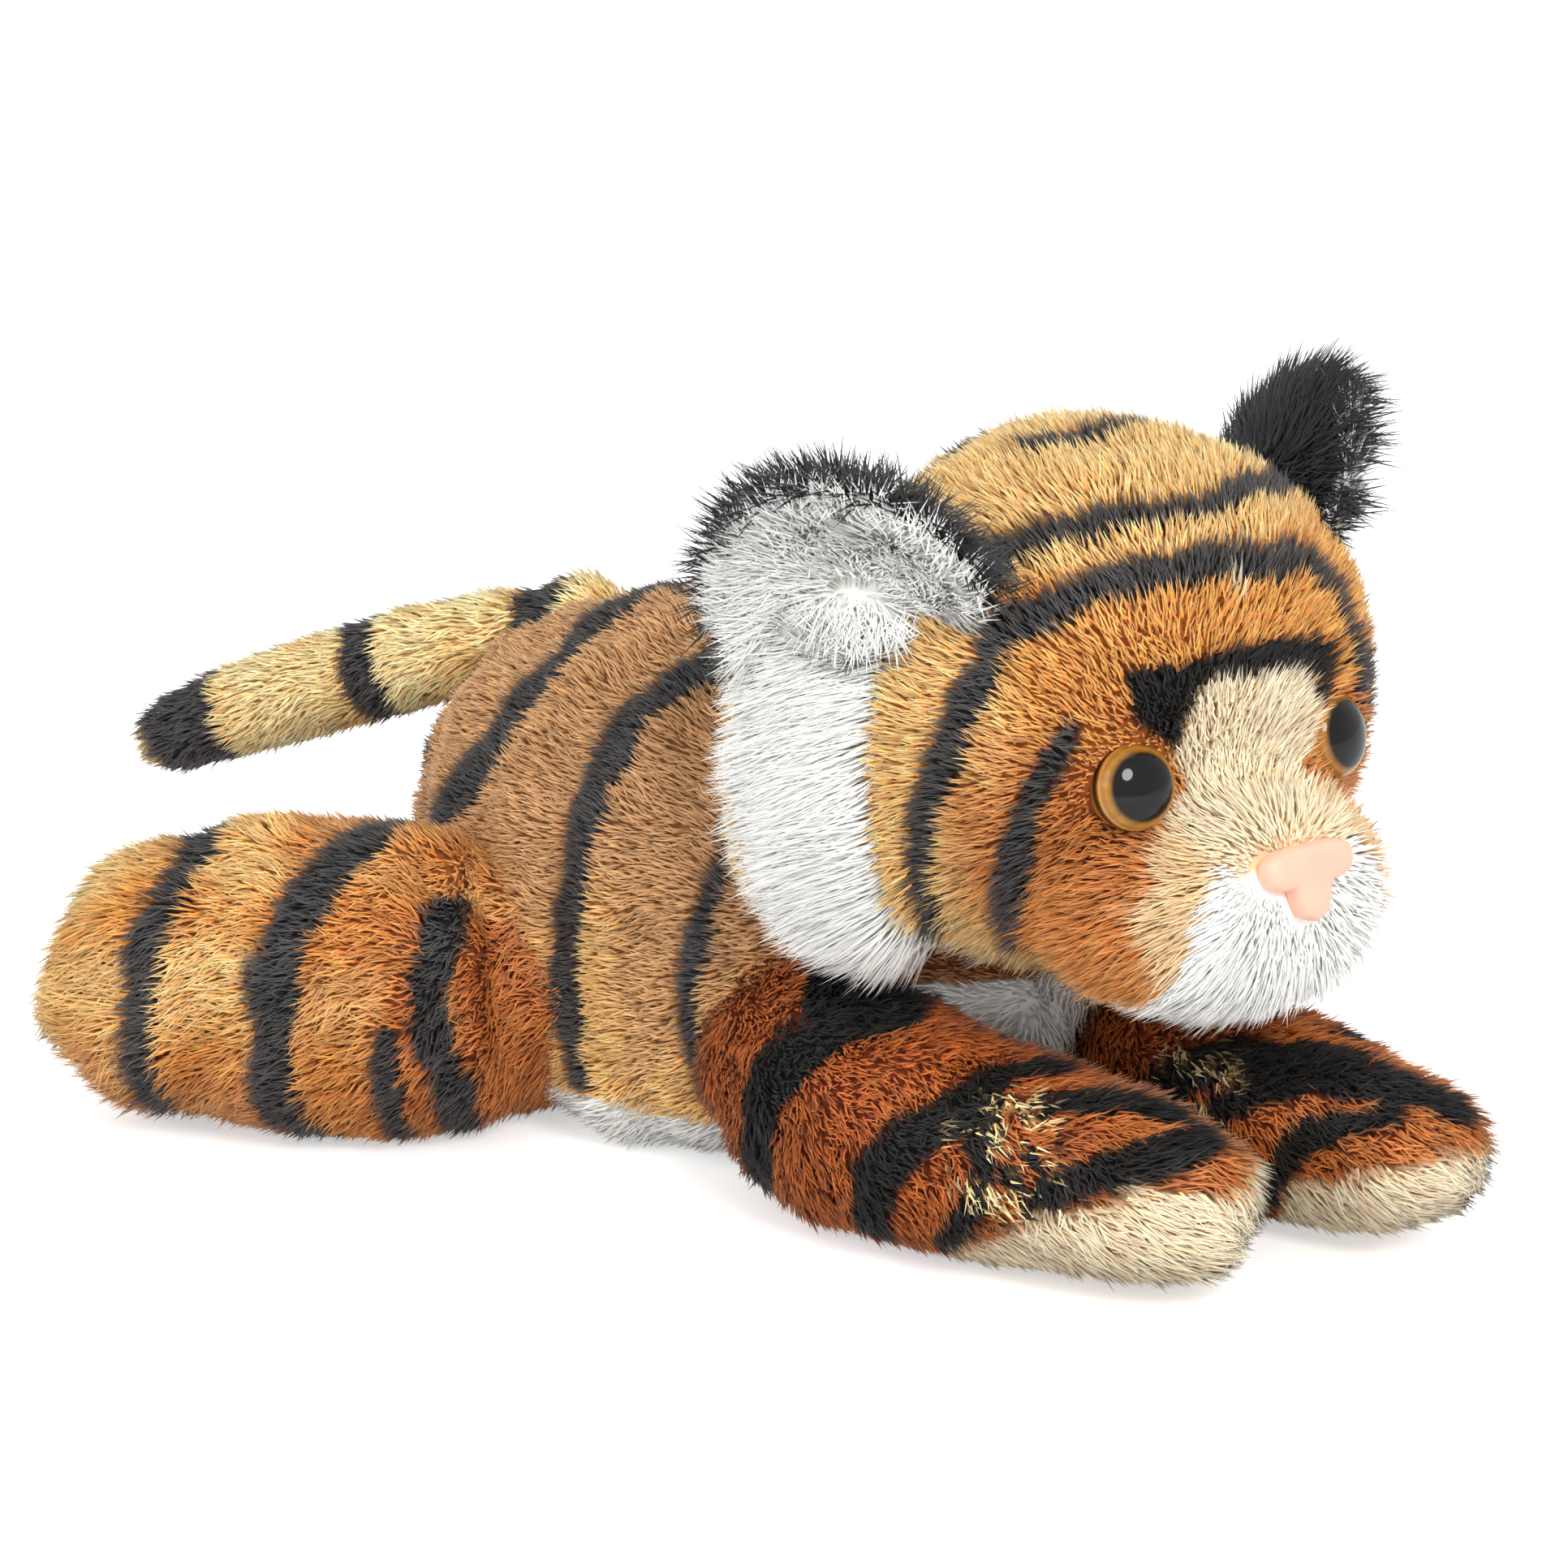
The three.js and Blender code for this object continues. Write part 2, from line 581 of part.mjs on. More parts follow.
for (const [side, sign] of [["right", -1], ["left", 1]]) {
  limb({
    name: "front_leg_" + side,
    form: {
      path: frontLegPaths[side],
      wide: frontLegWidths,
      tall: frontLegHeights,
      roundness: 0.6,
      around: 14,
      along: 10,
    },
    seam: { at: [sign * shoulder.side, shoulder.along, frontLegPaths[side][0][2]], axis: [0, 0, sign] },
    range: frontLegSwing,
    colour: "orange",
    sole: {
      name: "front_paw_sole_" + side,
      region: (grow) => slab(-beyond, frontSole.top + grow, -beyond, frontSole.back + grow),
    },
  });
  limb({
    name: "hind_leg_" + side,
    form: {
      path: hindLegPath.map(([x, y, z]) => [-sign * x, y, z]),
      wide: hindLegWidths,
      tall: hindLegHeights,
      roundness: 0.6,
      around: 14,
      along: 10,
    },
    seam: { at: [sign * hip.side, hip.along, hindLegPath[0][2]], axis: [0, 0, -sign] },
    range: hindLegSwing,
    colour: "orange",
    sole: {
      name: "hind_paw_sole_" + side,
      region: (grow) => slab(-beyond, hindSole.top + grow, hindSole.front - grow),
    },
  });
}
limb({
  name: "tail",
  form: {
    path: tailPath,
    wide: tailPath.map(() => tailDiameter),
    tall: tailPath.map(() => tailDiameter),
    roundness: 0.5,
    around: 10,
    along: 12,
  },
  seam: { at: [0, tailRootAlong, tailPath[0][2]], axis: [0, 0, -1] },
  range: tailSwing,
  colour: "orange",
});

export default tiger;
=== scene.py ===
"""A plush tiger lying on its belly. Metres, +Z up, nose towards -Y, the tiger's left is +X."""

import math

import bpy
import numpy as np
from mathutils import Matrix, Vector
from mathutils.bvhtree import BVHTree


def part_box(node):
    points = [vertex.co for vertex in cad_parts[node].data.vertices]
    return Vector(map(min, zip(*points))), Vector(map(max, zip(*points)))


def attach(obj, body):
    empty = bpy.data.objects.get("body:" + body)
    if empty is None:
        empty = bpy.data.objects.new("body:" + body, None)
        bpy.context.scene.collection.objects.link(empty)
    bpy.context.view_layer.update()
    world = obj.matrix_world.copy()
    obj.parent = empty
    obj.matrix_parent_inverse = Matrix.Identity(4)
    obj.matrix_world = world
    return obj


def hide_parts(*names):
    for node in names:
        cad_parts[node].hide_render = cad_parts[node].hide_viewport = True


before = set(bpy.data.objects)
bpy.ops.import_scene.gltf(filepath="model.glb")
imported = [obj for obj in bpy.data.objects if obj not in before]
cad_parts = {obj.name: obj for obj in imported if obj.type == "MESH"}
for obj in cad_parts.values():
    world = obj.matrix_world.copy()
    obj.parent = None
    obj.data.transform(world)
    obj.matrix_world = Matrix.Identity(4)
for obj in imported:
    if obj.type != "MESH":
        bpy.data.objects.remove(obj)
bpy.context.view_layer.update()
bpy.ops.object.select_all(action="DESELECT")
MM = 0.001

# Torso: striped plush over the back and sides, white plush under the belly and up the chest,
# sewn round fibrefill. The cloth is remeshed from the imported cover, panel and stuffing, so that
# it swells as one form, and the pile is laid on it as tapered tufts, combed towards the tail.
CLOTH_VOXEL = 2.4 * MM
CLOTH_GROWTH = 0.25 * MM
SAME_CORNER = 0.001 * MM
RESTING_FLAT = 3 * MM
TUFT_WIDTH = 0.42 * MM
TUFTS_PER_MM2 = 2.9
LUMP_SIZE = 17 * MM
SIDES = {"right": -1, "left": 1}


def select_only(*objects):
    bpy.ops.object.select_all(action="DESELECT")
    for item in objects:
        item.select_set(True)
    bpy.context.view_layer.objects.active = objects[0]


def apply_modifier(item, kind, **settings):
    modifier = item.modifiers.new(kind.lower(), kind)
    for key, value in settings.items():
        setattr(modifier, key, value)
    select_only(item)
    bpy.ops.object.modifier_apply(modifier=modifier.name)


def packed_copy(node, name):
    """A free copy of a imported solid, its loose triangles merged into one skin."""
    part = bpy.data.objects.new(name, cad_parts[node].data.copy())
    bpy.context.scene.collection.objects.link(part)
    select_only(part)
    bpy.ops.object.mode_set(mode="EDIT")
    bpy.ops.mesh.select_all(action="SELECT")
    bpy.ops.mesh.remove_doubles(threshold=SAME_CORNER)
    bpy.ops.object.mode_set(mode="OBJECT")
    return part


def stuffed_cloth(name, nodes, plugs=(), voxel=CLOTH_VOXEL, smoothing=6, lumps=0.0):
    """One swelling form from packed covers and their stuffing. A plug is a ball of the same stuffing
    that reaches through the seam into what carries it, as a centre and three radii in millimetres.
    lumps is how far the fibre pushes the cloth out or lets it sink, but where the toy rests on it."""
    parts = [packed_copy(node, name) for node in nodes]
    for part in parts:
        apply_modifier(part, "DISPLACE", strength=CLOTH_GROWTH, mid_level=0)
    for centre, radii in plugs:
        bpy.ops.mesh.primitive_uv_sphere_add(
            segments=24, ring_count=16, radius=1, location=Vector(centre) * MM
        )
        plug = bpy.context.object
        plug.scale = Vector(radii) * MM
        bpy.ops.object.transform_apply(location=True, rotation=True, scale=True)
        parts.append(plug)
    select_only(*parts)
    bpy.ops.object.join()
    cloth = bpy.context.object
    cloth.data.materials.clear()
    apply_modifier(cloth, "REMESH", mode="VOXEL", voxel_size=voxel)
    bpy.ops.object.mode_set(mode="EDIT")
    bpy.ops.mesh.select_all(action="SELECT")
    bpy.ops.mesh.separate(type="LOOSE")
    bpy.ops.object.mode_set(mode="OBJECT")
    shells = sorted(bpy.context.selected_objects, key=lambda o: len(o.data.vertices))
    cloth = shells.pop()
    for inner in shells:
        bpy.data.objects.remove(inner)
    cloth.name = name
    apply_modifier(cloth, "SMOOTH", factor=0.5, iterations=smoothing)
    apply_modifier(cloth, "SUBSURF", levels=1, render_levels=1)
    corners, facing, _ = surface_of(cloth)
    clear = np.clip(corners[:, 2] / RESTING_FLAT, 0, 1)[:, None]
    corners += facing * clear * lumps * ripple(corners, LUMP_SIZE, len(name))[:, None]
    cloth.data.vertices.foreach_set("co", corners.ravel())
    cloth.data.update()
    select_only(cloth)
    bpy.ops.object.shade_smooth()
    return cloth


def surface_of(cloth):
    """A mesh as arrays: its vertices, their normals, and its triangles."""
    mesh = cloth.data
    mesh.calc_loop_triangles()
    corners = np.zeros(len(mesh.vertices) * 3)
    mesh.vertices.foreach_get("co", corners)
    facing = np.zeros(len(mesh.vertices) * 3)
    mesh.vertices.foreach_get("normal", facing)
    triangles = np.zeros(len(mesh.loop_triangles) * 3, int)
    mesh.loop_triangles.foreach_get("vertices", triangles)
    return corners.reshape(-1, 3), facing.reshape(-1, 3), triangles.reshape(-1, 3)


def linear(*colour):
    """An sRGB colour, 0 to 255, as the linear values that a colour attribute holds."""
    c = np.asarray(colour, float) / 255
    return np.where(c <= 0.04045, c / 12.92, ((c + 0.055) / 1.055) ** 2.4)


def smoothstep(low, high, value):
    t = np.clip((value - low) / (high - low), 0, 1)
    return t * t * (3 - 2 * t)


def ripple(points, size, seed):
    """A smooth random value from about -1 to 1, whose hills are about size across."""
    rng = np.random.default_rng(seed)
    total = np.zeros(len(points))
    for _ in range(6):
        way = rng.normal(size=3)
        way *= rng.uniform(0.7, 1.5) / np.linalg.norm(way)
        total += np.sin(points @ way * (2 * math.pi / size) + rng.uniform(0, 2 * math.pi))
    return total / 2.5


def along_line(points, line):
    """How far each point is from a line of 3-D points in millimetres, and its share of the way along it."""
    line = np.asarray(line, float) * MM
    steps = np.linalg.norm(np.diff(line, axis=0), axis=1)
    best = np.full(len(points), np.inf)
    share = np.zeros(len(points))
    for i, step in enumerate(steps):
        way = (line[i + 1] - line[i]) / step
        t = np.clip((points - line[i]) @ way, 0, step)
        gap = np.linalg.norm(points - line[i] - t[:, None] * way, axis=1)
        closer = gap < best
        best[closer] = gap[closer]
        share[closer] = (steps[:i].sum() + t[closer]) / steps.sum()
    return best, share


STRIPE_EDGE = 0.6 * MM
STRIPE_END = 0.6
STRIPE_WAVER, RING_WAVER = 0.16, 0.14
RING_SHIFT = 0.9 * MM


def printed(points, stripes=(), rings=()):
    """1 inside the printed stripes, 0 outside. A stripe is a line on the cloth with its width, and narrows
    to STRIPE_END of it. A ring goes round a limb, in the plane of three points, with its width."""
    ink = np.zeros(len(points))
    for line, width in stripes:
        gap, share = along_line(points, line)
        taper = STRIPE_END + (1 - STRIPE_END) * np.sin(math.pi * (share * 0.94 + 0.03)) ** 0.5
        half = 0.5 * width * MM * taper * (1 + STRIPE_WAVER * ripple(points, 9 * MM, len(line)))
        ink = np.maximum(ink, 1 - smoothstep(half - STRIPE_EDGE, half + STRIPE_EDGE, gap))
    for (a, b, c), width in rings:
        a, b, c = (np.asarray(p, float) * MM for p in (a, b, c))
        facing = np.cross(b - a, c - a)
        facing /= np.linalg.norm(facing)
        gap = np.abs((points - a) @ facing + RING_SHIFT * ripple(points, 24 * MM, 7))
        half = 0.5 * width * MM * (1 + RING_WAVER * ripple(points, 9 * MM, 3))
        ink = np.maximum(ink, 1 - smoothstep(half - STRIPE_EDGE, half + STRIPE_EDGE, gap))
    return ink


def both_sides(marks):
    """The same marks on the tiger's right and left."""
    return [*marks, *[([(-x, y, z) for x, y, z in line], width) for line, width in marks]]


def mix(tones, others, share):
    share = np.asarray(share)[:, None]
    return [tone * (1 - share) + other * share for tone, other in zip(tones, others)]


def even(value):
    return lambda root, normal: np.full(len(root), value)


# Shares of a tuft's length: the shortest and the longest, and the way to its middle and on to its tip.
SHORTEST, LONGEST = 0.72, 1.12
TO_MIDDLE, TO_TIP = 0.42, 0.62
ROOT_DEPTH = 0.4 * MM
THINNEST, THICKEST = 0.75, 1.25
# How tufts rise and how bright they are: by chance, by patches of the pile, and within limits.
RISE_CHANCE, RISE_PATCHES, RISE_LIMITS = 0.10, 0.08, (0.08, 0.97)
TONE_CHANCE, TONE_PATCHES, TONE_LIMITS = 0.19, 0.15, (0.45, 1.6)
TINY = 1e-9


def lay_pile(
    name, cloth, keep, comb, shade, length, seed,
    width=TUFT_WIDTH, per_mm2=TUFTS_PER_MM2, upright=0.45, clump=1.5 * MM, pull_in=0.5, sway=0.22,
    uneven=1.0,
):
    """Tufts of pile on a cloth, as closed spindles: a root in the cloth, a thick middle and a fine tip.

    keep, comb, shade and length read the roots' places and normals: which roots this pile has, which way
    it lies, its root, middle and tip colours, and how long it is. upright is how far it stands up, clump
    and pull_in gather tips into locks, sway turns it from the comb, and uneven varies its brightness.
    """
    rng = np.random.default_rng(seed)
    corners, facing, triangles = surface_of(cloth)
    a, b, c = (corners[triangles[:, i]] for i in range(3))
    area = np.linalg.norm(np.cross(b - a, c - a), axis=1) / 2
    count = np.floor(area / MM**2 * per_mm2 + rng.random(len(area))).astype(int)
    chosen = np.repeat(np.arange(len(area)), count)
    u, v = rng.random(len(chosen)), rng.random(len(chosen))
    flip = u + v > 1
    u[flip], v[flip] = 1 - u[flip], 1 - v[flip]
    weights = np.stack([1 - u - v, u, v], axis=1)[:, :, None]
    root = (corners[triangles[chosen]] * weights).sum(axis=1)
    normal = (facing[triangles[chosen]] * weights).sum(axis=1)
    normal /= np.linalg.norm(normal, axis=1)[:, None]
    kept = keep(root, normal)
    root, normal = root[kept], normal[kept]
    many = len(root)

    way = comb(root, normal)
    way = way - (way * normal).sum(axis=1)[:, None] * normal
    way /= np.linalg.norm(way, axis=1)[:, None] + TINY
    side = np.cross(normal, way)
    turn = sway * ripple(root, 14 * MM, seed + 1) + sway * rng.normal(size=many)
    way = way * np.cos(turn)[:, None] + side * np.sin(turn)[:, None]
    reach = (length(root, normal) * rng.uniform(SHORTEST, LONGEST, many))[:, None]
    rise = upright + RISE_CHANCE * rng.normal(size=many) + RISE_PATCHES * ripple(root, 8 * MM, seed + 2)
    rise = np.clip(rise, *RISE_LIMITS)[:, None]
    middle = root + TO_MIDDLE * reach * (normal * np.sqrt(rise) + way * (1 - rise))
    tip = middle + TO_TIP * reach * (normal * rise + way * np.sqrt(1 - rise**2))
    wander = np.stack([ripple(root, 5 * MM, seed + k) for k in (3, 4, 5)], axis=1)
    centre = (np.floor(root / clump + 0.35 * wander) + 0.5) * clump
    pull = centre - root
    pull -= (pull * normal).sum(axis=1)[:, None] * normal
    pull *= np.minimum(1, clump / (np.linalg.norm(pull, axis=1)[:, None] + TINY))
    tip += pull_in * pull
    middle += 0.3 * pull_in * pull
    root = root - ROOT_DEPTH * normal

    axis = tip - root
    axis /= np.linalg.norm(axis, axis=1)[:, None]
    across = np.cross(axis, normal)
    across /= np.linalg.norm(across, axis=1)[:, None] + TINY
    over = np.cross(axis, across)
    spin = rng.uniform(0, 2 * math.pi, many)
    radius = (0.5 * width * rng.uniform(THINNEST, THICKEST, many))[:, None]
    ring = []
    for k in range(3):
        angle = (spin + 2 * math.pi * k / 3)[:, None]
        ring.append(middle + radius * (across * np.cos(angle) + over * np.sin(angle)))
    places = np.stack([root, *ring, tip], axis=1)

    bright = TONE_CHANCE * rng.normal(size=many) + TONE_PATCHES * ripple(centre, 2.6 * MM, seed + 6)
    bright = np.clip(1 + uneven * bright, *TONE_LIMITS)[:, None]
    shown = 0.5 * (root + tip)
    shown -= ((shown - root) * normal).sum(axis=1)[:, None] * normal
    tones = [np.clip(tone * bright, 0, 1) for tone in shade(shown, normal)]
    # The root takes the darker first colour, partly painted shade deep in the pile, the ring the middle one
    # and the tip the last.
    paint = np.ones((many, 5, 4))
    for k, tone in enumerate([tones[0], tones[1], tones[1], tones[1], tones[2]]):
        paint[:, k, :3] = tone

    spindle = np.array([(0, 2, 1), (0, 3, 2), (0, 1, 3), (4, 1, 2), (4, 2, 3), (4, 3, 1)])
    loops = (spindle.ravel()[None, :] + 5 * np.arange(many)[:, None]).ravel()
    pile = bpy.data.meshes.new(name)
    pile.vertices.add(many * 5)
    pile.vertices.foreach_set("co", places.ravel())
    pile.loops.add(len(loops))
    pile.loops.foreach_set("vertex_index", loops)
    pile.polygons.add(many * 6)
    pile.polygons.foreach_set("loop_start", np.arange(0, len(loops), 3))
    pile.polygons.foreach_set("use_smooth", np.ones(many * 6, bool))
    pile.update(calc_edges=True)
    stored = pile.attributes.new("pile_colour", "FLOAT_COLOR", "POINT")
    stored.data.foreach_set("color", paint.ravel())

    # Each tuft has a square of its own on the map, and like colours lie side by side.
    wide = math.ceil(math.sqrt(many))
    square = np.empty(many, int)
    square[np.argsort(tones[1].sum(axis=1))] = np.arange(many)
    column, row = square % wide, square // wide
    spot = np.array([(0.5, 0.06), (0.06, 0.45), (0.5, 0.55), (0.94, 0.45), (0.5, 0.94)])
    where = np.stack([column, row], axis=1)[:, None, :] + spot[spindle.ravel()][None, :, :]
    bake = pile.uv_layers.new(name="OFBake")
    bake.uv.foreach_set("vector", (where / wide).astype(np.float32).ravel())

    # A dense pile takes the light as the cloth under it does, so each tuft has the cloth's normal.
    pile.normals_split_custom_set_from_vertices(np.repeat(normal, 5, axis=0).tolist())
    made = bpy.data.objects.new(name, pile)
    bpy.context.scene.collection.objects.link(made)
    made.data.materials.append(PLUSH)
    return made


GRAIN_HEIGHT = 0.05 * MM
GRAINS_PER_METRE = 1500.0
FINISH_INPUTS = ("Patches per metre", "Smoothest", "Roughest", "Grain", "Grains per metre")


def uneven_finish():
    """A node group: a colour, a roughness and a surface that vary a little from place to place."""
    group = bpy.data.node_groups.new("uneven_finish", "ShaderNodeTree")
    face = group.interface
    face.new_socket("Colour", in_out="INPUT", socket_type="NodeSocketColor")
    for socket in FINISH_INPUTS:
        face.new_socket(socket, in_out="INPUT", socket_type="NodeSocketFloat")
    face.new_socket("Colour", in_out="OUTPUT", socket_type="NodeSocketColor")
    face.new_socket("Roughness", in_out="OUTPUT", socket_type="NodeSocketFloat")
    face.new_socket("Normal", in_out="OUTPUT", socket_type="NodeSocketVector")
    nodes, links = group.nodes, group.links
    given = nodes.new("NodeGroupInput")
    result = nodes.new("NodeGroupOutput")
    place = nodes.new("ShaderNodeTexCoord")
    patches = nodes.new("ShaderNodeTexNoise")
    patches.inputs["Detail"].default_value = 3
    grains = nodes.new("ShaderNodeTexNoise")
    rough = nodes.new("ShaderNodeMapRange")
    light = nodes.new("ShaderNodeMapRange")
    light.inputs["To Min"].default_value = 0.9
    light.inputs["To Max"].default_value = 1.1
    dyed = nodes.new("ShaderNodeVectorMath")
    dyed.operation = "SCALE"
    raised = nodes.new("ShaderNodeBump")
    raised.inputs["Distance"].default_value = GRAIN_HEIGHT
    for start, leaving, end, entering in (
        (place, "Object", patches, "Vector"),
        (place, "Object", grains, "Vector"),
        (given, "Patches per metre", patches, "Scale"),
        (given, "Grains per metre", grains, "Scale"),
        (patches, "Fac", rough, "Value"),
        (given, "Smoothest", rough, "To Min"),
        (given, "Roughest", rough, "To Max"),
        (patches, "Fac", light, "Value"),
        (given, "Colour", dyed, 0),
        (light, "Result", dyed, "Scale"),
        (grains, "Fac", raised, "Height"),
        (given, "Grain", raised, "Strength"),
        (dyed, "Vector", result, "Colour"),
        (rough, "Result", result, "Roughness"),
        (raised, "Normal", result, "Normal"),
    ):
        links.new(start.outputs[leaving], end.inputs[entering])
    return group


UNEVEN_FINISH = uneven_finish()


def finished_material(name, colour, patches, rough, grain=0.0, **settings):
    """A material whose colour is one sRGB value, or the name of an attribute that holds its colours."""
    made = bpy.data.materials.new(name)
    made.use_nodes = True
    tree = made.node_tree
    shader = tree.nodes["Principled BSDF"]
    finish = tree.nodes.new("ShaderNodeGroup")
    finish.node_tree = UNEVEN_FINISH
    if isinstance(colour, str):
        stored = tree.nodes.new("ShaderNodeAttribute")
        stored.attribute_name = colour
        tree.links.new(stored.outputs["Color"], finish.inputs["Colour"])
    else:
        finish.inputs["Colour"].default_value = (*linear(*colour), 1)
    for key, value in zip(FINISH_INPUTS, (patches, *rough, grain, GRAINS_PER_METRE)):
        finish.inputs[key].default_value = value
    tree.links.new(finish.outputs["Colour"], shader.inputs["Base Color"])
    tree.links.new(finish.outputs["Roughness"], shader.inputs["Roughness"])
    if grain:
        tree.links.new(finish.outputs["Normal"], shader.inputs["Normal"])
    for key, value in settings.items():
        shader.inputs[key.replace("_", " ")].default_value = value
    return made


PLUSH = finished_material(
    "plush_fibre", "pile_colour", patches=160, rough=(0.45, 0.65),
    Specular_IOR_Level=0.3, Sheen_Weight=0.08, Sheen_Roughness=0.4,
)
BACKING = finished_material("knitted_backing", "pile_colour", patches=90, rough=(0.8, 1.0), grain=0.6)


def paint_cloth(cloth, shade):
    """Gives the backing cloth the colours of the pile's roots and middles that stand on it, with the painted
    shade of the roots.
    """
    places, facing, _ = surface_of(cloth)
    tones = shade(places, facing)
    paint = np.ones((len(places), 4))
    paint[:, :3] = 0.5 * (tones[0] + tones[1])
    stored = cloth.data.attributes.new("pile_colour", "FLOAT_COLOR", "POINT")
    stored.data.foreach_set("color", paint.ravel())
    cloth.data.materials.append(BACKING)


def sewn(piece, body, slot, *nodes):
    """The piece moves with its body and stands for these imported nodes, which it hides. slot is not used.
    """
    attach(piece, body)
    if nodes:
        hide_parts(*nodes)


def flat(tones, many):
    return [np.tile(tone, (many, 1)) for tone in tones]


# The pile's colours: a tuft's colour at its root, its middle and its tip. The darker roots are partly their
# dye and partly painted shade deep in the pile, between the tufts.
STRIPE = [linear(10, 10, 11), linear(32, 31, 33), linear(92, 88, 86)]
WHITE = [linear(250, 250, 244), linear(254, 254, 248), linear(255, 255, 250)]
GREY_BROWN = [linear(90, 46, 18), linear(178, 122, 72), linear(226, 182, 132)]
GOLD = [linear(134, 68, 20), linear(230, 164, 86), linear(255, 222, 158)]
RUST = [linear(84, 30, 8), linear(172, 88, 34), linear(226, 146, 78)]

WHITE_UNEVEN = 0.15

TORSO_STRIPES = both_sides(
    [
        (
            [
                (0, 17, 75), (-11, 18, 73), (-19, 19, 69), (-27, 23, 58),
                (-29, 29, 49), (-27, 37, 39), (-23, 43, 32),
            ],
            7.4,
        ),
        (
            [
                (0, -12, 74), (-13, -8, 72), (-19, -4, 70), (-24, -1, 65),
                (-31, 1, 56), (-36, 1, 41), (-36, 4, 27), (-35, 3, 12),
            ],
            6.8,
        ),
        ([(-28, -22, 56), (-33, -21, 44), (-34, -19, 34), (-34, -18, 24), (-32, -19, 13)], 4.2),
        ([(0, 44, 62), (-10, 46, 58), (-18, 48, 48), (-14, 53, 38)], 5.4),
    ]
)


BELLY_TOP = 9.2 * MM
CHEST_BACK, CHEST_TOP = -40 * MM, 34 * MM


def on_belly(root):
    chest = (root[:, 1] < CHEST_BACK) & (root[:, 2] < CHEST_TOP)
    return (root[:, 2] < BELLY_TOP) | chest


def torso_shade(root, normal):
    # The back is greyer brown along the top, a painted sheen of light glancing off the laid pile, and turns
    # gold lower down.
    height = root[:, 2] + 9 * MM * ripple(root, 20 * MM, 5)
    tones = mix(flat(GREY_BROWN, len(root)), GOLD, smoothstep(42 * MM, 10 * MM, height))
    rust = smoothstep(-24 * MM, -34 * MM, root[:, 1]) * smoothstep(52 * MM, 30 * MM, height)
    tones = mix(tones, RUST, 0.7 * rust)
    tones = mix(tones, STRIPE, printed(root, TORSO_STRIPES))
    return mix(tones, WHITE, on_belly(root))


def torso_comb(root, normal):
    rise = np.interp(root[:, 2], [10 * MM, 55 * MM], [-0.35, 0.2])
    return np.stack([4 * root[:, 0], np.ones(len(root)), rise], axis=1)


torso_cloth = stuffed_cloth(
    "torso_cloth",
    ["torso_back_cover", "belly_panel", "torso_fibrefill", "belly_pellet_bag"],
    lumps=0.7 * MM,
)
paint_cloth(torso_cloth, torso_shade)
sewn(torso_cloth, "torso", "fibrefill", "torso_fibrefill", "belly_pellet_bag")
for side, sign in SIDES.items():
    half = lay_pile(
        f"torso_pile_{side}",
        torso_cloth,
        keep=lambda root, normal: ~on_belly(root) & (root[:, 0] * sign > 0),
        comb=torso_comb,
        shade=torso_shade,
        length=even(3.2 * MM),
        pull_in=0.35,
        seed=11 + sign,
    )
    sewn(half, "torso", "striped_plush", *(["torso_back_cover"] if sign < 0 else []))
belly_pile = lay_pile(
    "belly_pile",
    torso_cloth,
    keep=lambda root, normal: on_belly(root) & (root[:, 2] > 0.8 * MM),
    comb=torso_comb,
    shade=torso_shade,
    length=lambda root, normal: np.minimum(4.2 * MM, 0.6 * MM + 1.2 * root[:, 2]),
    per_mm2=1.8,
    uneven=WHITE_UNEVEN,
    seed=14,
)
sewn(belly_pile, "torso", "white_plush", "belly_panel")

# Neck: the narrow roll between chest and head, stuffed with fibrefill and sewn to both, so that the
# head can turn and nod. Its cloth is white below and brown above, and the pile of both hides it.
neck_cloth = stuffed_cloth("neck_cloth", ["neck_fibrefill"], smoothing=2)


def neck_shade(root, normal):
    return mix(flat(GREY_BROWN, len(root)), WHITE, smoothstep(52 * MM, 48 * MM, root[:, 2]))


paint_cloth(neck_cloth, neck_shade)
sewn(neck_cloth, "neck", "fibrefill", "neck_fibrefill")

# Head: panels of striped plush, with a tan one over the muzzle and a white one for the chin, sewn
# together and stuffed round with fibrefill, and a ruff of longer white plush sewn in behind each
# cheek. The pile of the face lies away from the nose all round.
HEAD_PIVOT = np.array([0, -45, 55]) * MM
HEAD_TURN = math.radians(-10)
COS, SIN = math.cos(HEAD_TURN), math.sin(HEAD_TURN)
HEAD_PANELS = [
    "head_cover", "muzzle_bridge_panel", "muzzle_chin_panel", "cheek_ruff_right", "cheek_ruff_left",
]
RIGHT_RUFF, LEFT_RUFF = 3, 4
FAWN = [linear(178, 128, 82), linear(228, 182, 128), linear(250, 218, 170)]
TAN = [linear(218, 176, 130), linear(250, 220, 174), linear(255, 242, 216)]
ORANGE = [linear(118, 54, 12), linear(212, 124, 46), linear(250, 186, 100)]
DEEP_STRIPE = [linear(5, 4, 4), linear(13, 12, 12), linear(38, 35, 33)]


def distance_to(points, item):
    corners, _, triangles = surface_of(item)
    tree = BVHTree.FromPolygons(corners.tolist(), triangles.tolist())
    return np.array([tree.find_nearest(Vector(p))[3] for p in points])


def nearest_node(points, nodes):
    """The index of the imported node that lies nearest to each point, so each panel gets its own pile."""
    return np.argmin([distance_to(points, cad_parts[node]) for node in nodes], axis=0)


def to_head(points):
    """Places in the head's own frame, in millimetres: x to its left, -y to its nose, z up, from the neck."""
    x, y, z = ((points - HEAD_PIVOT) / MM).T
    return np.stack([x * COS + y * SIN, -x * SIN + y * COS, z], axis=1)


def on_head(line):
    """A line drawn in the head's own frame, as row millimetres."""
    px, py, pz = HEAD_PIVOT / MM
    return [(px + x * COS - y * SIN, py + x * SIN + y * COS, pz + z) for x, y, z in line]


def head_marks(marks):
    """Marks drawn on the right half of the head, and again on the left."""
    return [(on_head(line), width) for line, width in both_sides(marks)]


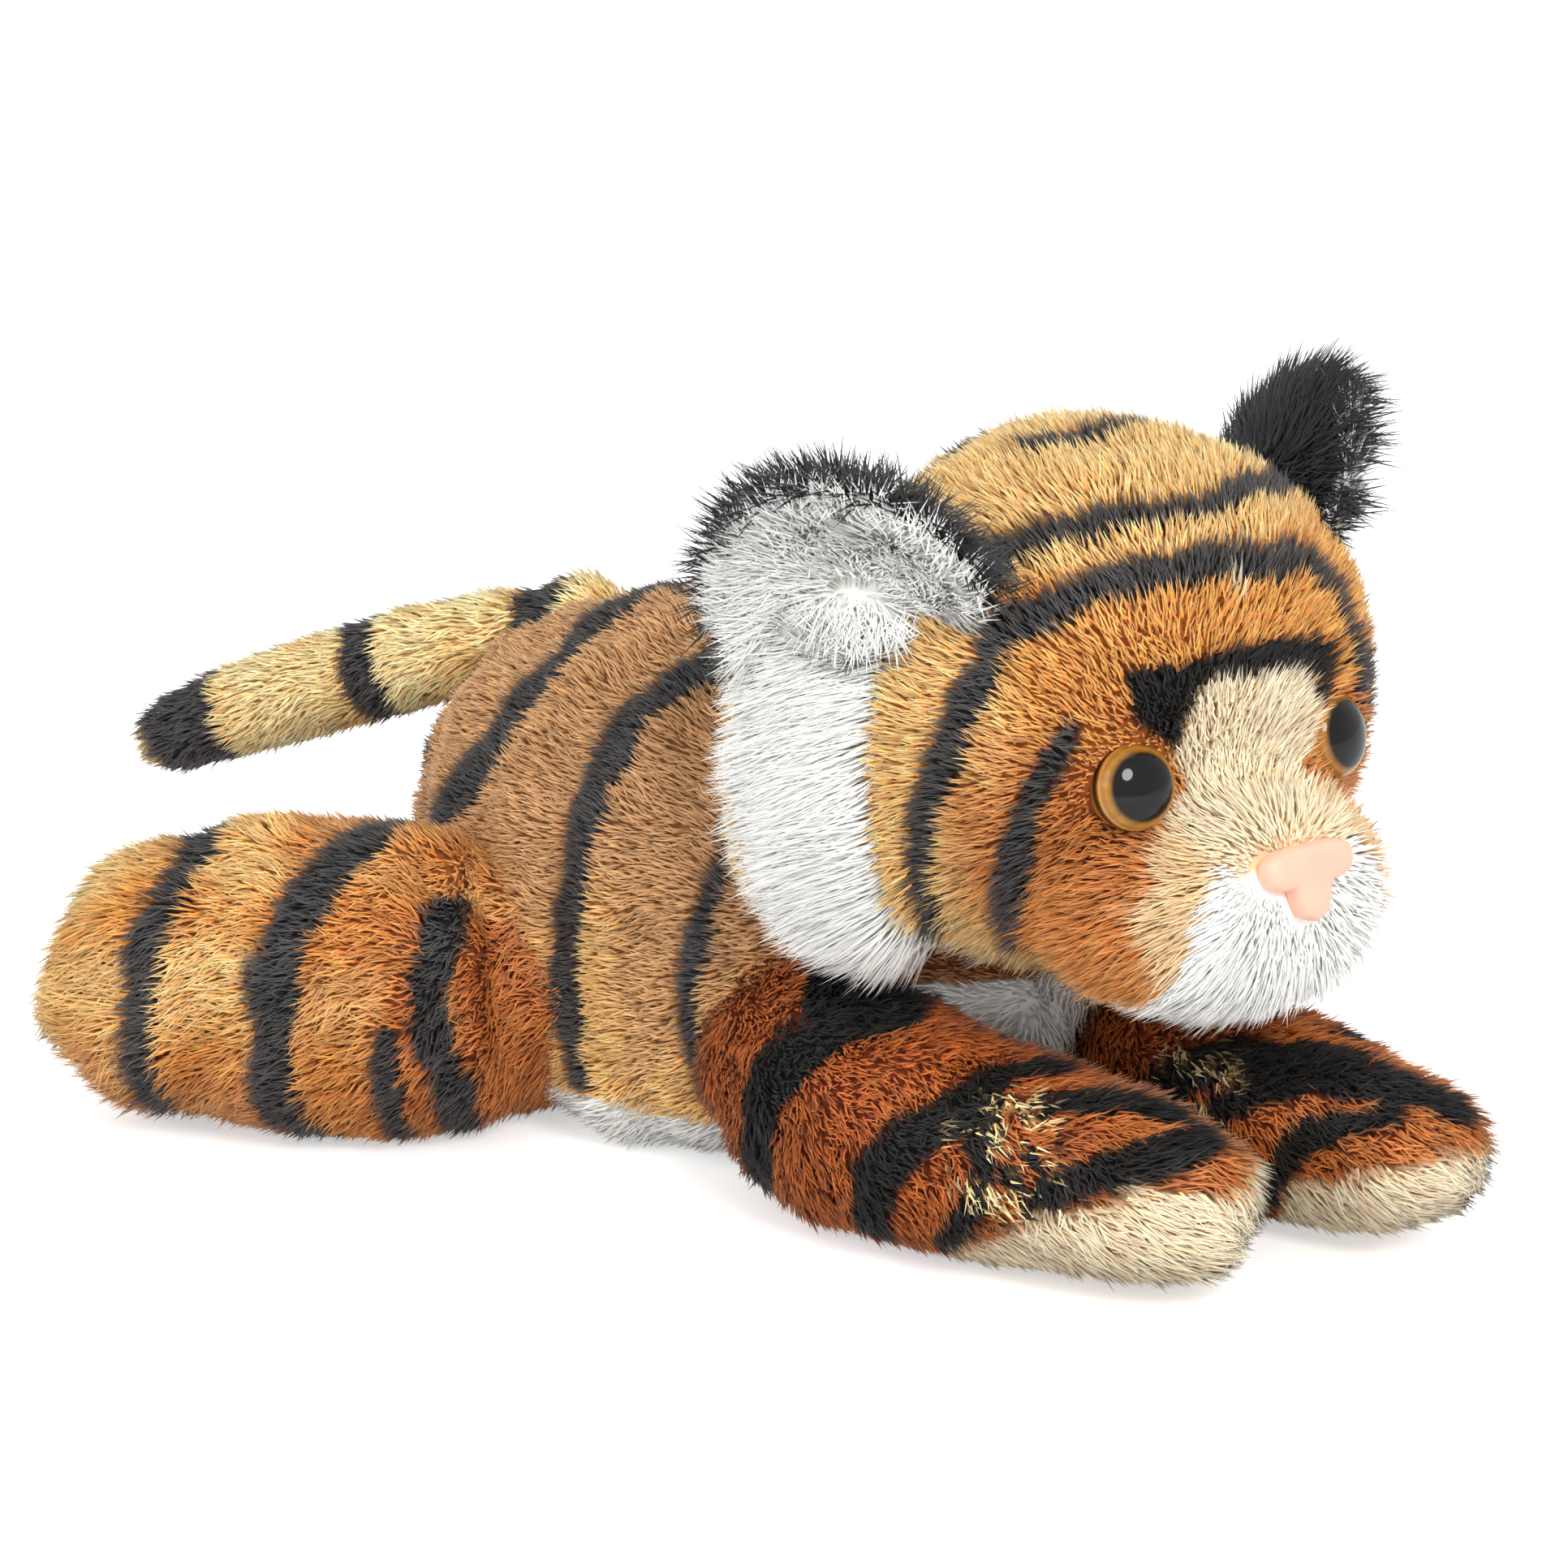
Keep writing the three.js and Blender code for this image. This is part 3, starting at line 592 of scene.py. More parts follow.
HEAD_STRIPES = head_marks(
    [
        ([(-32, -22, 42), (-25, -32, 48), (-19, -36, 50), (-6, -41, 51), (0, -42, 51)], 4.8),
        (
            [
                (-27, -47, 27), (-29, -45, 22), (-30, -42, 16), (-30, -39, 8),
                (-28, -36, 1), (-25, -33, -4), (-20, -31, -9),
            ],
            4.6,
        ),
        ([(-13, -17, 56.5), (-6, -22, 57), (0, -24, 58)], 3.8),
        ([(-27, -7, 44), (-17, -6, 49), (-8, -5, 52), (0, -4, 53)], 4.6),
        ([(-37, 6, 30), (-31, 6, 36), (-16, 4, 39), (-8, 6, 41), (0, 6, 42)], 5.2),
        ([(-39, 7, 16), (-30, 9, 24), (-15, 7, 29), (0, 8, 30)], 5.0),
        ([(-36, 7, 3), (-29, 8, 9), (-17, 6, 14)], 4.6),
    ]
)
OVER_THE_HEAD = [
    (
        [
            (-30, -21, -8), (-35, -26, 5), (-37, -32, 19), (-34, -36, 32), (-30, -37, 39), (-23, -42, 43),
            (-11, -46, 45), (0, -48, 45), (12, -47, 43), (20, -47, 38), (22, -49, 32), (25, -48, 24),
        ],
        5.2,
    ),
    ([(31, -35, 41), (34, -36, 32), (37, -32, 19), (35, -26, 5), (30, -21, -8)], 5.2),
]
HEAD_STRIPES += [(on_head(line), width) for line, width in OVER_THE_HEAD]
BROW_STRIP = [(on_head([(-10, -52, 32.5), (-4, -52, 33.2), (5, -52, 32.8), (13, -52, 31)]), 4.6)]
BROW_FRONT, MUZZLE_FRONT, THROAT_FRONT = -36, -40, -22
BROW_PATCHES = (
    ((-20.5, 34), (-5, 34.5), (-7, 30), (-10, 24.5), (-12.5, 22), (-19, 27.5)),
    ((5, 34.5), (16.5, 32), (17, 28), (14, 23)),
)


def in_brow(h):
    """1 inside the black patch over each eye, an outline of (x, z) that runs clockwise."""
    found = np.zeros(len(h))
    for outline in BROW_PATCHES:
        inside = np.full(len(h), np.inf)
        for (ax, az), (bx, bz) in zip(outline, outline[1:] + outline[:1]):
            edge = math.hypot(bx - ax, bz - az)
            to_edge = ((h[:, 0] - ax) * (bz - az) - (h[:, 2] - az) * (bx - ax)) / edge
            inside = np.minimum(inside, to_edge)
        found = np.maximum(found, smoothstep(-0.6, 0.6, inside + 0.5 * ripple(h, 6, 15)))
    return found * (h[:, 1] < BROW_FRONT)


# Heights on the face, and the half width of the tan plush at each.
TAN_OUTLINE = (
    (-13, -11, -4, 1, 4, 8, 12, 16, 22, 26, 29, 31.5, 32.5),
    (0, 14, 19, 19.6, 19, 16.6, 13.4, 11.4, 12.2, 12.2, 11, 8, 0),
)


def tan_share(h):
    inside = np.interp(h[:, 2], *TAN_OUTLINE) - np.abs(h[:, 0])
    return smoothstep(-0.9, 0.9, inside + 0.9 * ripple(h, 6, 4)) * (h[:, 1] < MUZZLE_FRONT)


def white_share(h):
    top = np.interp(np.abs(h[:, 0]), [0, 6, 13, 16, 17.5], [5, 6, 6.5, 2, -20])
    muzzle = smoothstep(-0.7, 0.7, top - h[:, 2] + 0.5 * ripple(h, 7, 6)) * (h[:, 1] < MUZZLE_FRONT)
    throat = smoothstep(-12, -14, h[:, 2]) * (h[:, 1] < THROAT_FRONT) * (np.abs(h[:, 0]) < 20)
    return np.maximum(muzzle, throat)


def head_shade(root, normal):
    h = to_head(root)
    aside = np.abs(h[:, 0])
    front = smoothstep(-28, -36, h[:, 1])
    arch = smoothstep(34, 29, aside) * smoothstep(48, 43, h[:, 2] + 2 * ripple(h, 13, 10)) * front
    cheek = smoothstep(20, 9, np.hypot(aside - 25, 0.75 * (h[:, 2] - 7)) + 2.5 * ripple(h, 11, 8)) * front
    tones = mix(flat(GOLD, len(root)), ORANGE, 0.85 * arch)
    tones = mix(tones, RUST, 0.8 * cheek)
    tones = mix(tones, STRIPE, printed(root, HEAD_STRIPES))
    tones = mix(tones, TAN, tan_share(h))
    tones = mix(tones, FAWN, tan_share(h) * smoothstep(10, 15, aside) * smoothstep(14, 9, h[:, 2]))
    tones = mix(tones, DEEP_STRIPE, np.maximum(in_brow(h) * (1 - tan_share(h)), printed(root, BROW_STRIP)))
    return mix(tones, WHITE, white_share(h))


NOSE_OF_HEAD = np.array([0, -66, 8])


def head_comb(root, normal):
    x, y, z = (to_head(root) - NOSE_OF_HEAD).T
    way = np.stack([x * COS - y * SIN, x * SIN + y * COS, z], axis=1)
    return way / np.linalg.norm(way, axis=1)[:, None]


def node_middle(node):
    return Vector([sum(pair) / 2 for pair in zip(*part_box(node))])


EYES = {side: node_middle(f"eye_pupil_{side}") for side in SIDES}
EYE_CLEAR = {"right": 6.0 * MM, "left": 5.2 * MM}
NOSE_CLEAR = 0.9 * MM
SHORT_BY_NOSE, SHORT_BY_EYE, SHORTEST_ON_FACE = 0.9 * MM, 1.2 * MM, 1.5 * MM
JAW_HEIGHTS, JAW_EXTRA = (14, -4), 0.4
BEHIND_EARS_Y, BEHIND_EARS_Z = -7, 31


def clear_of_face(root):
    """Roots that would not stand under an eye or the nose."""
    kept = distance_to(root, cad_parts["nose"]) > NOSE_CLEAR
    for side, centre in EYES.items():
        kept &= np.linalg.norm(root - np.array(centre), axis=1) > EYE_CLEAR[side]
    return kept


def face_length(longest):
    """Pile that is short round the nose and the eyes, and longer again along the jaw."""

    def length(root, normal):
        near = 1.3 * distance_to(root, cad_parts["nose"]) - 0.6 * MM
        for side, centre in EYES.items():
            from_eye = np.linalg.norm(root - np.array(centre), axis=1) - EYE_CLEAR[side]
            near = np.minimum(near, from_eye + SHORT_BY_EYE)
        jaw = 1 + JAW_EXTRA * smoothstep(*JAW_HEIGHTS, to_head(root)[:, 2])
        return np.clip(0.9 * near + SHORT_BY_NOSE, SHORTEST_ON_FACE, longest * jaw)

    return length


head_cloth = stuffed_cloth("head_cloth", [*HEAD_PANELS, "head_fibrefill"], lumps=0.4 * MM)
paint_cloth(head_cloth, head_shade)
sewn(head_cloth, "head", "fibrefill", "head_fibrefill")


def head_part(part):
    """Which roots stand on the gold, the tan or the white plush of the face, or on a ruff."""

    def keep(root, normal):
        h = to_head(root)
        panel = nearest_node(root, HEAD_PANELS)
        behind_ear = (h[:, 1] > BEHIND_EARS_Y) & (h[:, 2] > BEHIND_EARS_Z)
        panel[behind_ear] = 0
        ruff = panel >= RIGHT_RUFF
        white = white_share(h) > 0.5
        tan = (tan_share(h) > 0.5) & ~white
        chosen = {
            "right": ~ruff & ~white & ~tan & (h[:, 0] <= 0),
            "left": ~ruff & ~white & ~tan & (h[:, 0] > 0),
            "tan": ~ruff & tan,
            "white": ~ruff & white,
            "ruff_right": panel == RIGHT_RUFF,
            "ruff_left": panel == LEFT_RUFF,
        }[part]
        chosen[chosen] = clear_of_face(root[chosen])
        return chosen

    return keep


def ruff_comb(root, normal):
    return np.stack([3 * root[:, 0], np.ones(len(root)), np.full(len(root), -0.45)], axis=1)


for part, slot, node, longest, rise, sway, per_mm2, uneven in (
    ("right", "striped_plush", "head_cover", 4.4, 0.6, 0.22, TUFTS_PER_MM2, 1.0),
    ("left", "striped_plush", None, 4.4, 0.6, 0.22, TUFTS_PER_MM2, 1.0),
    ("tan", "tan_plush", "muzzle_bridge_panel", 5.0, 0.36, 0.18, 3.8, 0.5),
    ("white", "white_plush", "muzzle_chin_panel", 5.4, 0.2, 0.16, 4.4, WHITE_UNEVEN),
):
    pile = lay_pile(
        f"head_pile_{part}",
        head_cloth,
        keep=head_part(part),
        comb=head_comb,
        shade=head_shade,
        length=face_length(longest * MM),
        upright=rise,
        sway=sway,
        per_mm2=per_mm2,
        uneven=uneven,
        seed=20 + len(part) + len(slot),
    )
    sewn(pile, "head", slot, *([node] if node else []))
for side in SIDES:
    pile = lay_pile(
        f"ruff_pile_{side}",
        head_cloth,
        keep=head_part(f"ruff_{side}"),
        comb=ruff_comb,
        shade=lambda root, normal: flat(WHITE, len(root)),
        length=even(10 * MM),
        upright=0.22,
        clump=2.6 * MM,
        width=0.34 * MM,
        per_mm2=4.2,
        sway=0.13,
        uneven=WHITE_UNEVEN,
        seed=30 + len(side),
    )
    sewn(pile, "head", "white_plush", f"cheek_ruff_{side}")

# Ears: two cupped pieces each, black behind and white in front, sewn back to back and into the head.
# Both piles fan out from the foot of the ear, and the black one stands past the rim as a fringe.
EAR_FEET = {"right": np.array([-37.6, -53.6, 92]) * MM, "left": np.array([32.4, -65.9, 92]) * MM}
BLACK = [linear(8, 8, 10), linear(22, 22, 25), linear(50, 50, 56)]
EAR_HOLLOW, EAR_RIM = 7 * MM, 17 * MM
# The white covers what faces forwards by more than this, so it reaches a little round the right rim.
WHITE_RIM = {"right": -0.25, "left": 0}
for side in SIDES:
    nodes = [f"ear_front_{side}", f"ear_back_{side}"]
    foot = EAR_FEET[side]
    ear_cloth = stuffed_cloth(
        f"ear_cloth_{side}", nodes, plugs=[(foot / MM, (9, 9, 6))], voxel=1.3 * MM, smoothing=3
    )
    places, _, _ = surface_of(ear_cloth)
    forwards = np.linalg.svd(places - places.mean(axis=0), full_matrices=False)[2][2]
    forwards *= -np.sign(forwards[1])

    def in_front(normal):
        return normal @ forwards > WHITE_RIM[side]

    def ear_shade(root, normal):
        return mix(flat(BLACK, len(root)), WHITE, in_front(normal))

    def ear_comb(root, normal):
        way = root - foot
        return way / np.linalg.norm(way, axis=1)[:, None]

    def to_the_rim(in_hollow, at_rim):
        def length(root, normal):
            out = np.linalg.norm(root - foot, axis=1)
            return np.interp(out, [EAR_HOLLOW, EAR_RIM], [in_hollow, at_rim])

        return length

    paint_cloth(ear_cloth, ear_shade)
    sewn(ear_cloth, f"ear_{side}", "black_plush")
    for part, slot, in_hollow, at_rim, per_mm2, clump, uneven in (
        ("front", "white_plush", 6, 6, 5.0, 2.6, WHITE_UNEVEN),
        ("back", "black_plush", 5, 10, 4.4, 2.0, 1.0),
    ):
        front = part == "front"
        pile = lay_pile(
            f"ear_{part}_pile_{side}",
            ear_cloth,
            keep=lambda root, normal: in_front(normal) == front,
            comb=ear_comb,
            shade=ear_shade,
            length=to_the_rim(in_hollow * MM, at_rim * MM),
            upright=0.3,
            width=0.36 * MM,
            clump=clump * MM,
            pull_in=0.65,
            uneven=uneven,
            per_mm2=per_mm2,
            sway=0.35,
            seed=40 + len(part + side),
        )
        sewn(pile, f"ear_{side}", slot, f"ear_{part}_{side}")

# Eyes: moulded safety eyes, a clear dome painted behind with a black pupil in an amber ring, pushed
# through the cloth on a ribbed shank and locked behind it by a toothed nylon washer.
EYE_RADIUS = 6.0 * MM
EYE_RIM = 0.9 * MM
EYE_DOME = 3.6 * MM
EYE_SUNK = {"right": 0.6 * MM, "left": 1.3 * MM}
EYE_AHEAD = 0.7  # share of its outward turn that an eye keeps, as stuffed cloth lets it tip forwards
EYE_UP = math.radians(14)
EYE_STREAKS = 0.18
# The dome's colour from the middle out, as a radius in millimetres and the colour there: the black pupil,
# painted shade darkening the amber next to it, the amber ring, a painted glint as a bright line just inside
# the rim, and painted shade as a dark edge at the rim.
EYE_PAINT_GLINT_AND_SHADE = (
    (0, 3, 3, 4), (4.45, 3, 3, 4), (4.6, 50, 30, 12), (4.85, 128, 86, 32),
    (5.3, 164, 116, 46), (5.7, 150, 100, 36), (5.88, 200, 144, 78), (6.0, 56, 32, 12),
)


def eye_dome(side):
    """A dome over a straight rim, turned to face the way its pupil stands from its washer."""
    seat = node_middle(f"eye_pupil_{side}")
    facing = (seat - node_middle(f"eye_washer_{side}")).normalized()
    ahead = math.atan2(facing.x, -facing.y) - HEAD_TURN
    ahead = HEAD_TURN + ahead * EYE_AHEAD
    facing = Vector((math.sin(ahead), -math.cos(ahead), 0)) * math.cos(EYE_UP)
    facing.z = math.sin(EYE_UP)
    bpy.ops.mesh.primitive_uv_sphere_add(segments=96, ring_count=64, radius=1)
    dome = bpy.context.object
    dome.name = f"eye_dome_{side}"
    dome.scale = (EYE_RADIUS, EYE_RADIUS, EYE_DOME)
    bpy.ops.object.transform_apply(scale=True)
    bpy.ops.object.mode_set(mode="EDIT")
    bpy.ops.mesh.select_all(action="SELECT")
    bpy.ops.mesh.bisect(plane_co=(0, 0, 0.002 * MM), plane_no=(0, 0, 1), clear_inner=True, use_fill=True)
    bpy.ops.mesh.extrude_region_move(TRANSFORM_OT_translate={"value": (0, 0, -EYE_RIM)})
    bpy.ops.object.mode_set(mode="OBJECT")
    apply_modifier(dome, "BEVEL", width=0.2 * MM, segments=3, limit_method="ANGLE")
    places, _, _ = surface_of(dome)
    away = np.hypot(places[:, 0], places[:, 1]) / MM
    rng = np.random.default_rng(5)
    turn = np.arctan2(places[:, 1], places[:, 0])
    streak = sum(np.sin(k * turn + rng.uniform(0, 6)) for k in (3, 7, 12, 19)) / 4
    # The pupil and the amber ring are the eye's own paint. The dark band by the pupil and the dark edge at
    # the rim are painted shade, and the bright line inside the rim is a painted glint.
    paint = np.ones((len(places), 4))
    radii = [ring[0] for ring in EYE_PAINT_GLINT_AND_SHADE]
    tones = np.array([linear(*ring[1:]) for ring in EYE_PAINT_GLINT_AND_SHADE])
    for channel in range(3):
        paint[:, channel] = np.interp(away, radii, tones[:, channel]) * (1 + EYE_STREAKS * streak)
    stored = dome.data.attributes.new("eye_paint_glint_and_shade", "FLOAT_COLOR", "POINT")
    stored.data.foreach_set("color", paint.ravel())
    dome.rotation_euler = facing.to_track_quat("Z", "Y").to_euler()
    dome.location = seat + facing * (EYE_RIM - EYE_SUNK[side])
    select_only(dome)
    bpy.ops.object.transform_apply(location=True, rotation=True)
    bpy.ops.object.shade_smooth_by_angle(angle=math.radians(50))
    return dome


EYE_MATERIAL = finished_material(
    "painted_clear_dome", "eye_paint_glint_and_shade", patches=300, rough=(0.25, 0.4),
    Specular_IOR_Level=0.02, Coat_Weight=0.6, Coat_Roughness=0.02,
)
SHANK = finished_material("amber_moulding", (170, 112, 42), patches=400, rough=(0.25, 0.45), grain=0.1)
NYLON = finished_material("nylon_washer", (232, 232, 228), patches=300, rough=(0.4, 0.6), grain=0.2)
PUPIL = finished_material("black_moulding", (8, 8, 9), patches=300, rough=(0.1, 0.25), grain=0.05)


def refinish(item, finish):
    item.data.materials.clear()
    item.data.materials.append(finish)


for side in SIDES:
    dome = eye_dome(side)
    refinish(dome, EYE_MATERIAL)
    sewn(dome, "head", "eye_clear", f"eye_lens_{side}")
    for node, finish in (("pupil", PUPIL), ("plate", SHANK), ("washer", NYLON)):
        refinish(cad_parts[f"eye_{node}_{side}"], finish)

# Nose: one soft-touch moulding with two lobes and a stem, pressed into the pile and held by a
# washer behind the cloth.
nose = packed_copy("nose", "nose_moulding")
apply_modifier(nose, "REMESH", mode="VOXEL", voxel_size=0.3 * MM)
apply_modifier(nose, "SMOOTH", factor=0.5, iterations=9)
refinish(nose, finished_material("peach_nose", (236, 182, 158), 250, rough=(0.42, 0.6), grain=0.15))
select_only(nose)
bpy.ops.object.shade_smooth()
sewn(nose, "head", "nose_plastic", "nose")
refinish(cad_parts["nose_washer"], NYLON)

# Front legs: tubes of rust-brown plush with black bands, stuffed so that they swell to the paw, with a
# cream sole sewn in under the paw, and sewn to the chest at the shoulder. The right one bends inwards
# at the wrist, and the left one lies straight ahead.


def down_leg(path):
    """Combs the pile along a limb, from the body to the paw."""
    ways = np.diff(np.asarray(path, float) * MM, axis=0)
    steps = np.linalg.norm(ways, axis=1)
    marks = np.concatenate([[0], np.cumsum(steps)]) / steps.sum()

    def comb(root, normal):
        _, share = along_line(root, path)
        index = np.clip(np.searchsorted(marks, share, side="right") - 1, 0, len(steps) - 1)
        return ways[index] / steps[index][:, None] + np.array([0, 0, -0.25])

    return comb


# The soles' cream is paler at the root than the muzzle's tan. This is painted light that makes up for the
# little light under the paws.
CREAM = [linear(250, 202, 152), linear(255, 222, 176), linear(255, 240, 214)]
PALE_GOLD = [linear(214, 136, 66), linear(255, 216, 142), linear(255, 244, 198)]
CHESTNUT = [linear(74, 26, 8), linear(152, 66, 20), linear(216, 124, 54)]
FRONT_PATHS = {
    "right": [(-20, -22, 20), (-30, -45, 18), (-29, -70, 15.5), (-23.5, -108, 14)],
    "left": [(20, -22, 20), (20, -50, 17.5), (10, -84, 15), (12, -121, 14)],
}
FRONT_MARKS = {
    "right": [
        ([(-8, -46, 37), (-20, -47, 37), (-31, -45, 34)], 19.0),
        (
            [
                (-26, -52, 35), (-32, -54, 33), (-38, -49, 31), (-42, -44, 26),
                (-44, -41, 20), (-43, -39, 12), (-39, -35, 5),
            ],
            9.0,
        ),
        ([(-33, -74, 28), (-39, -72, 25), (-42, -67, 21), (-44, -62, 15), (-41, -58, 6)], 7.2),
        ([(-34, -73, 28), (-28, -77, 28.5), (-23, -80, 28.5)], 4.4),
        (
            [
                (-34, -83, 26.5), (-27, -89, 27), (-22, -96, 25), (-20, -100, 24),
                (-25, -102, 23), (-31, -100, 22), (-36, -92, 20), (-39, -86, 15),
            ],
            6.4,
        ),
        ([(-35, -75, 27), (-39, -76, 22), (-41, -78, 17), (-41, -76, 12), (-39, -69, 6)], 4.0),
    ],
    "left": [
        (
            [
                (-5, -74, 16), (-2, -80, 21), (1, -88, 25), (4, -96, 26),
                (6, -105, 25), (9, -112, 24), (13, -117, 20),
            ],
            8.0,
        ),
        ([(-4, -85, 15), (-2, -91, 20), (1, -96, 23), (4, -102, 24)], 5.4),
        ([(1, -93, 4), (-1, -98, 11), (-1, -103, 18), (2, -109, 21), (5, -113, 21)], 5.4),
        ([(12, -40, 36), (24, -40, 36), (33, -38, 28), (37, -36, 16), (34, -34, 6)], 9.0),
        ([(12, -76, 30), (19, -75, 28), (25, -74, 21), (27, -72, 10)], 6.4),
        ([(14, -98, 27), (21, -97, 24), (25, -95, 17), (25, -93, 8)], 5.2),
    ],
}
MESSY_PATCH = {"right": (-39, -80, 20), "left": (-3, -84, 19)}
MESSINESS = {"right": 1.0, "left": 0.5}
PATCH_EDGE, PATCH_CORE = 11 * MM, 6 * MM
# Where a sole ends: distances back from the tip of the paw, and its top edge at each.
FRONT_SOLES = {
    "right": ((0, 2, 10, 24, 38, 46), (15, 17.5, 17.5, 12.5, 6, -5)),
    "left": ((0, 2, 10, 20, 26, 32), (15, 16, 14, 10, 5, -5)),
}


def limb_pile(limb, cloth, path, shade, in_sole, sole_node, cover_node, length, seed):
    """The pile of a leg in two pieces, the denser and flatter one on its sole."""
    for part, slot, node in (("pile", "striped_plush", cover_node), ("sole_pile", "tan_plush", sole_node)):
        on_sole = part == "sole_pile"
        pile = lay_pile(
            f"{limb}_{part}",
            cloth,
            keep=lambda root, normal: ((in_sole(root) > 0.5) == on_sole) & (root[:, 2] > 0.7 * MM),
            comb=down_leg(path),
            shade=shade,
            length=lambda root, normal: np.minimum(length(root), 0.6 * MM + 0.8 * root[:, 2]),
            per_mm2=4.2 if on_sole else TUFTS_PER_MM2,
            upright=0.34 if on_sole else 0.45,
            clump=2.1 * MM,
            pull_in=0.4 if on_sole else 0.65,
            sway=0.2 if on_sole else 0.32,
            uneven=0.4 if on_sole else 1.0,
            seed=seed + on_sole,
        )
        sewn(pile, limb, slot, node)


for side, sign in SIDES.items():
    limb = f"front_leg_{side}"
    path = FRONT_PATHS[side]

    def in_front_sole(root):
        """1 on the cream plush under and round the front of a paw, 0 above it."""
        from_tip = (root[:, 1] - path[-1][1] * MM) / MM
        top = np.interp(from_tip, *FRONT_SOLES[side]) + 0.8 * ripple(root, 11 * MM, 2)
        return smoothstep(0.7, -0.7, root[:, 2] / MM - top)

    def front_shade(root, normal):
        _, share = along_line(root, path)
        paw = smoothstep(0.55, 1, share + 0.08 * ripple(root, 12 * MM, 9))
        tones = mix(flat(CHESTNUT, len(root)), RUST, paw)
        from_patch = np.linalg.norm(root - np.array(MESSY_PATCH[side]) * MM, axis=1)
        messy = MESSINESS[side] * smoothstep(PATCH_EDGE, PATCH_CORE, from_patch)
        ink = np.maximum(printed(root, FRONT_MARKS[side]), messy * (ripple(root, 5 * MM, 17) > -0.1))
        tones = mix(tones, DEEP_STRIPE, ink)
        tones = mix(tones, PALE_GOLD, messy * (ripple(root, 0.8 * MM, 16) + ripple(root, 5 * MM, 4) > 0.85))
        return mix(tones, CREAM, in_front_sole(root))

    def front_length(root):
        from_tip = root[:, 1] - path[-1][1] * MM
        return np.interp(from_tip, [0, 45 * MM], [5.6 * MM, 4.0 * MM])

    leg_cloth = stuffed_cloth(
        f"{limb}_cloth",
        [f"{limb}_cover", f"front_paw_sole_{side}", f"{limb}_fibrefill"],
        plugs=[((sign * 24, -32, 21), (15, 15, 15))],
        lumps=0.6 * MM,
    )
    paint_cloth(leg_cloth, front_shade)
    sewn(leg_cloth, limb, "fibrefill", f"{limb}_fibrefill")
    limb_pile(
        limb, leg_cloth, path, front_shade, in_front_sole,
        f"front_paw_sole_{side}", f"{limb}_cover", front_length, 50 + 2 * sign,
    )

# Hind legs: fatter tubes of gold and orange plush, ringed with black stripes, with a cream sole at the
# end. They are stuffed with fibrefill, sewn on at the hips, and lie out to the side and back.
HIND_PATH = [(-18, 14, 23), (-42, 29, 23), (-55, 49, 22.5), (-72, 71, 20)]
HIND_SOLE_FRONT, HIND_SOLE_TOP = 64 * MM, 12 * MM
HIND_RINGS = [
    (((-60, 54, 42), (-75, 51, 25), (-73, 52, 12)), 6.0),
    (((-49, 32, 45), (-67, 33, 26), (-63, 34, 9)), 6.6),
]
HIND_STRIPES = [
    ([(-45, 16, 40), (-49, 16, 36), (-54, 15, 29), (-54, 14, 19), (-48, 15, 9), (-42, 19, 3)], 6.8),
    ([(-58, 19, 22), (-58, 20, 14), (-54, 22, 8), (-50, 24, 4)], 4.0),
]


def on_side(line, sign):
    """A line of the right leg, or the same on the left."""
    return [(-sign * x, y, z) for x, y, z in line]


for side, sign in SIDES.items():
    limb = f"hind_leg_{side}"
    path = on_side(HIND_PATH, sign)
    rings = [(on_side(ring, sign), width) for ring, width in HIND_RINGS]
    stripes = [(on_side(line, sign), width) for line, width in HIND_STRIPES]

    def in_hind_sole(root):
        return ((root[:, 1] > HIND_SOLE_FRONT) & (root[:, 2] < HIND_SOLE_TOP)).astype(float)

    def hind_shade(root, normal):
        _, share = along_line(root, path)
        between = smoothstep(0.62, 0.5, share + 0.05 * ripple(root, 17 * MM, 20))
        orange = np.clip(0.3 + 0.5 * between + 0.5 * ripple(root, 19 * MM, 12), 0, 1)
        tones = mix(flat(GOLD, len(root)), ORANGE, orange)
        low = smoothstep(24 * MM, 9 * MM, root[:, 2] + 5 * MM * ripple(root, 17 * MM, 18))
        by_hip = smoothstep(0.42, 0.32, share + 0.03 * ripple(root, 12 * MM, 3))
        by_hip *= smoothstep(42 * MM, 34 * MM, root[:, 2] + 3 * MM * ripple(root, 12 * MM, 21))
        tones = mix(tones, RUST, np.maximum.reduce([0.75 * low, 0.45 * between, by_hip]))
        tones = mix(tones, STRIPE, printed(root, stripes, rings))
        return mix(tones, CREAM, in_hind_sole(root))

    def hind_length(root):
        _, share = along_line(root, path)
        return np.interp(share, [0.6, 1], [4.4 * MM, 6.8 * MM])

    leg_cloth = stuffed_cloth(
        f"{limb}_cloth",
        [f"{limb}_cover", f"hind_paw_sole_{side}", f"{limb}_fibrefill"],
        plugs=[((sign * 26, 22, 22.5), (18, 18, 20))],
        lumps=0.9 * MM,
    )
    paint_cloth(leg_cloth, hind_shade)
    sewn(leg_cloth, limb, "fibrefill", f"{limb}_fibrefill")
    limb_pile(
        limb, leg_cloth, path, hind_shade, in_hind_sole,
        f"hind_paw_sole_{side}", f"{limb}_cover", hind_length, 60 + 2 * sign,
    )

# Tail: a thin stuffed tube of pale gold plush, sewn into the seam of the rump, with a black ring near
# the body, one halfway and a wide one before the pale tip.
TAIL_PATH = [(0, 24, 68), (-4, 46, 64), (-10, 68, 56), (-15, 89, 47.5), (-21, 105, 40)]
TAIL_RINGS = [(0.15, 0.045), (0.5, 0.038), (0.905, 0.08)]
TAIL_RING_EDGE = 0.007


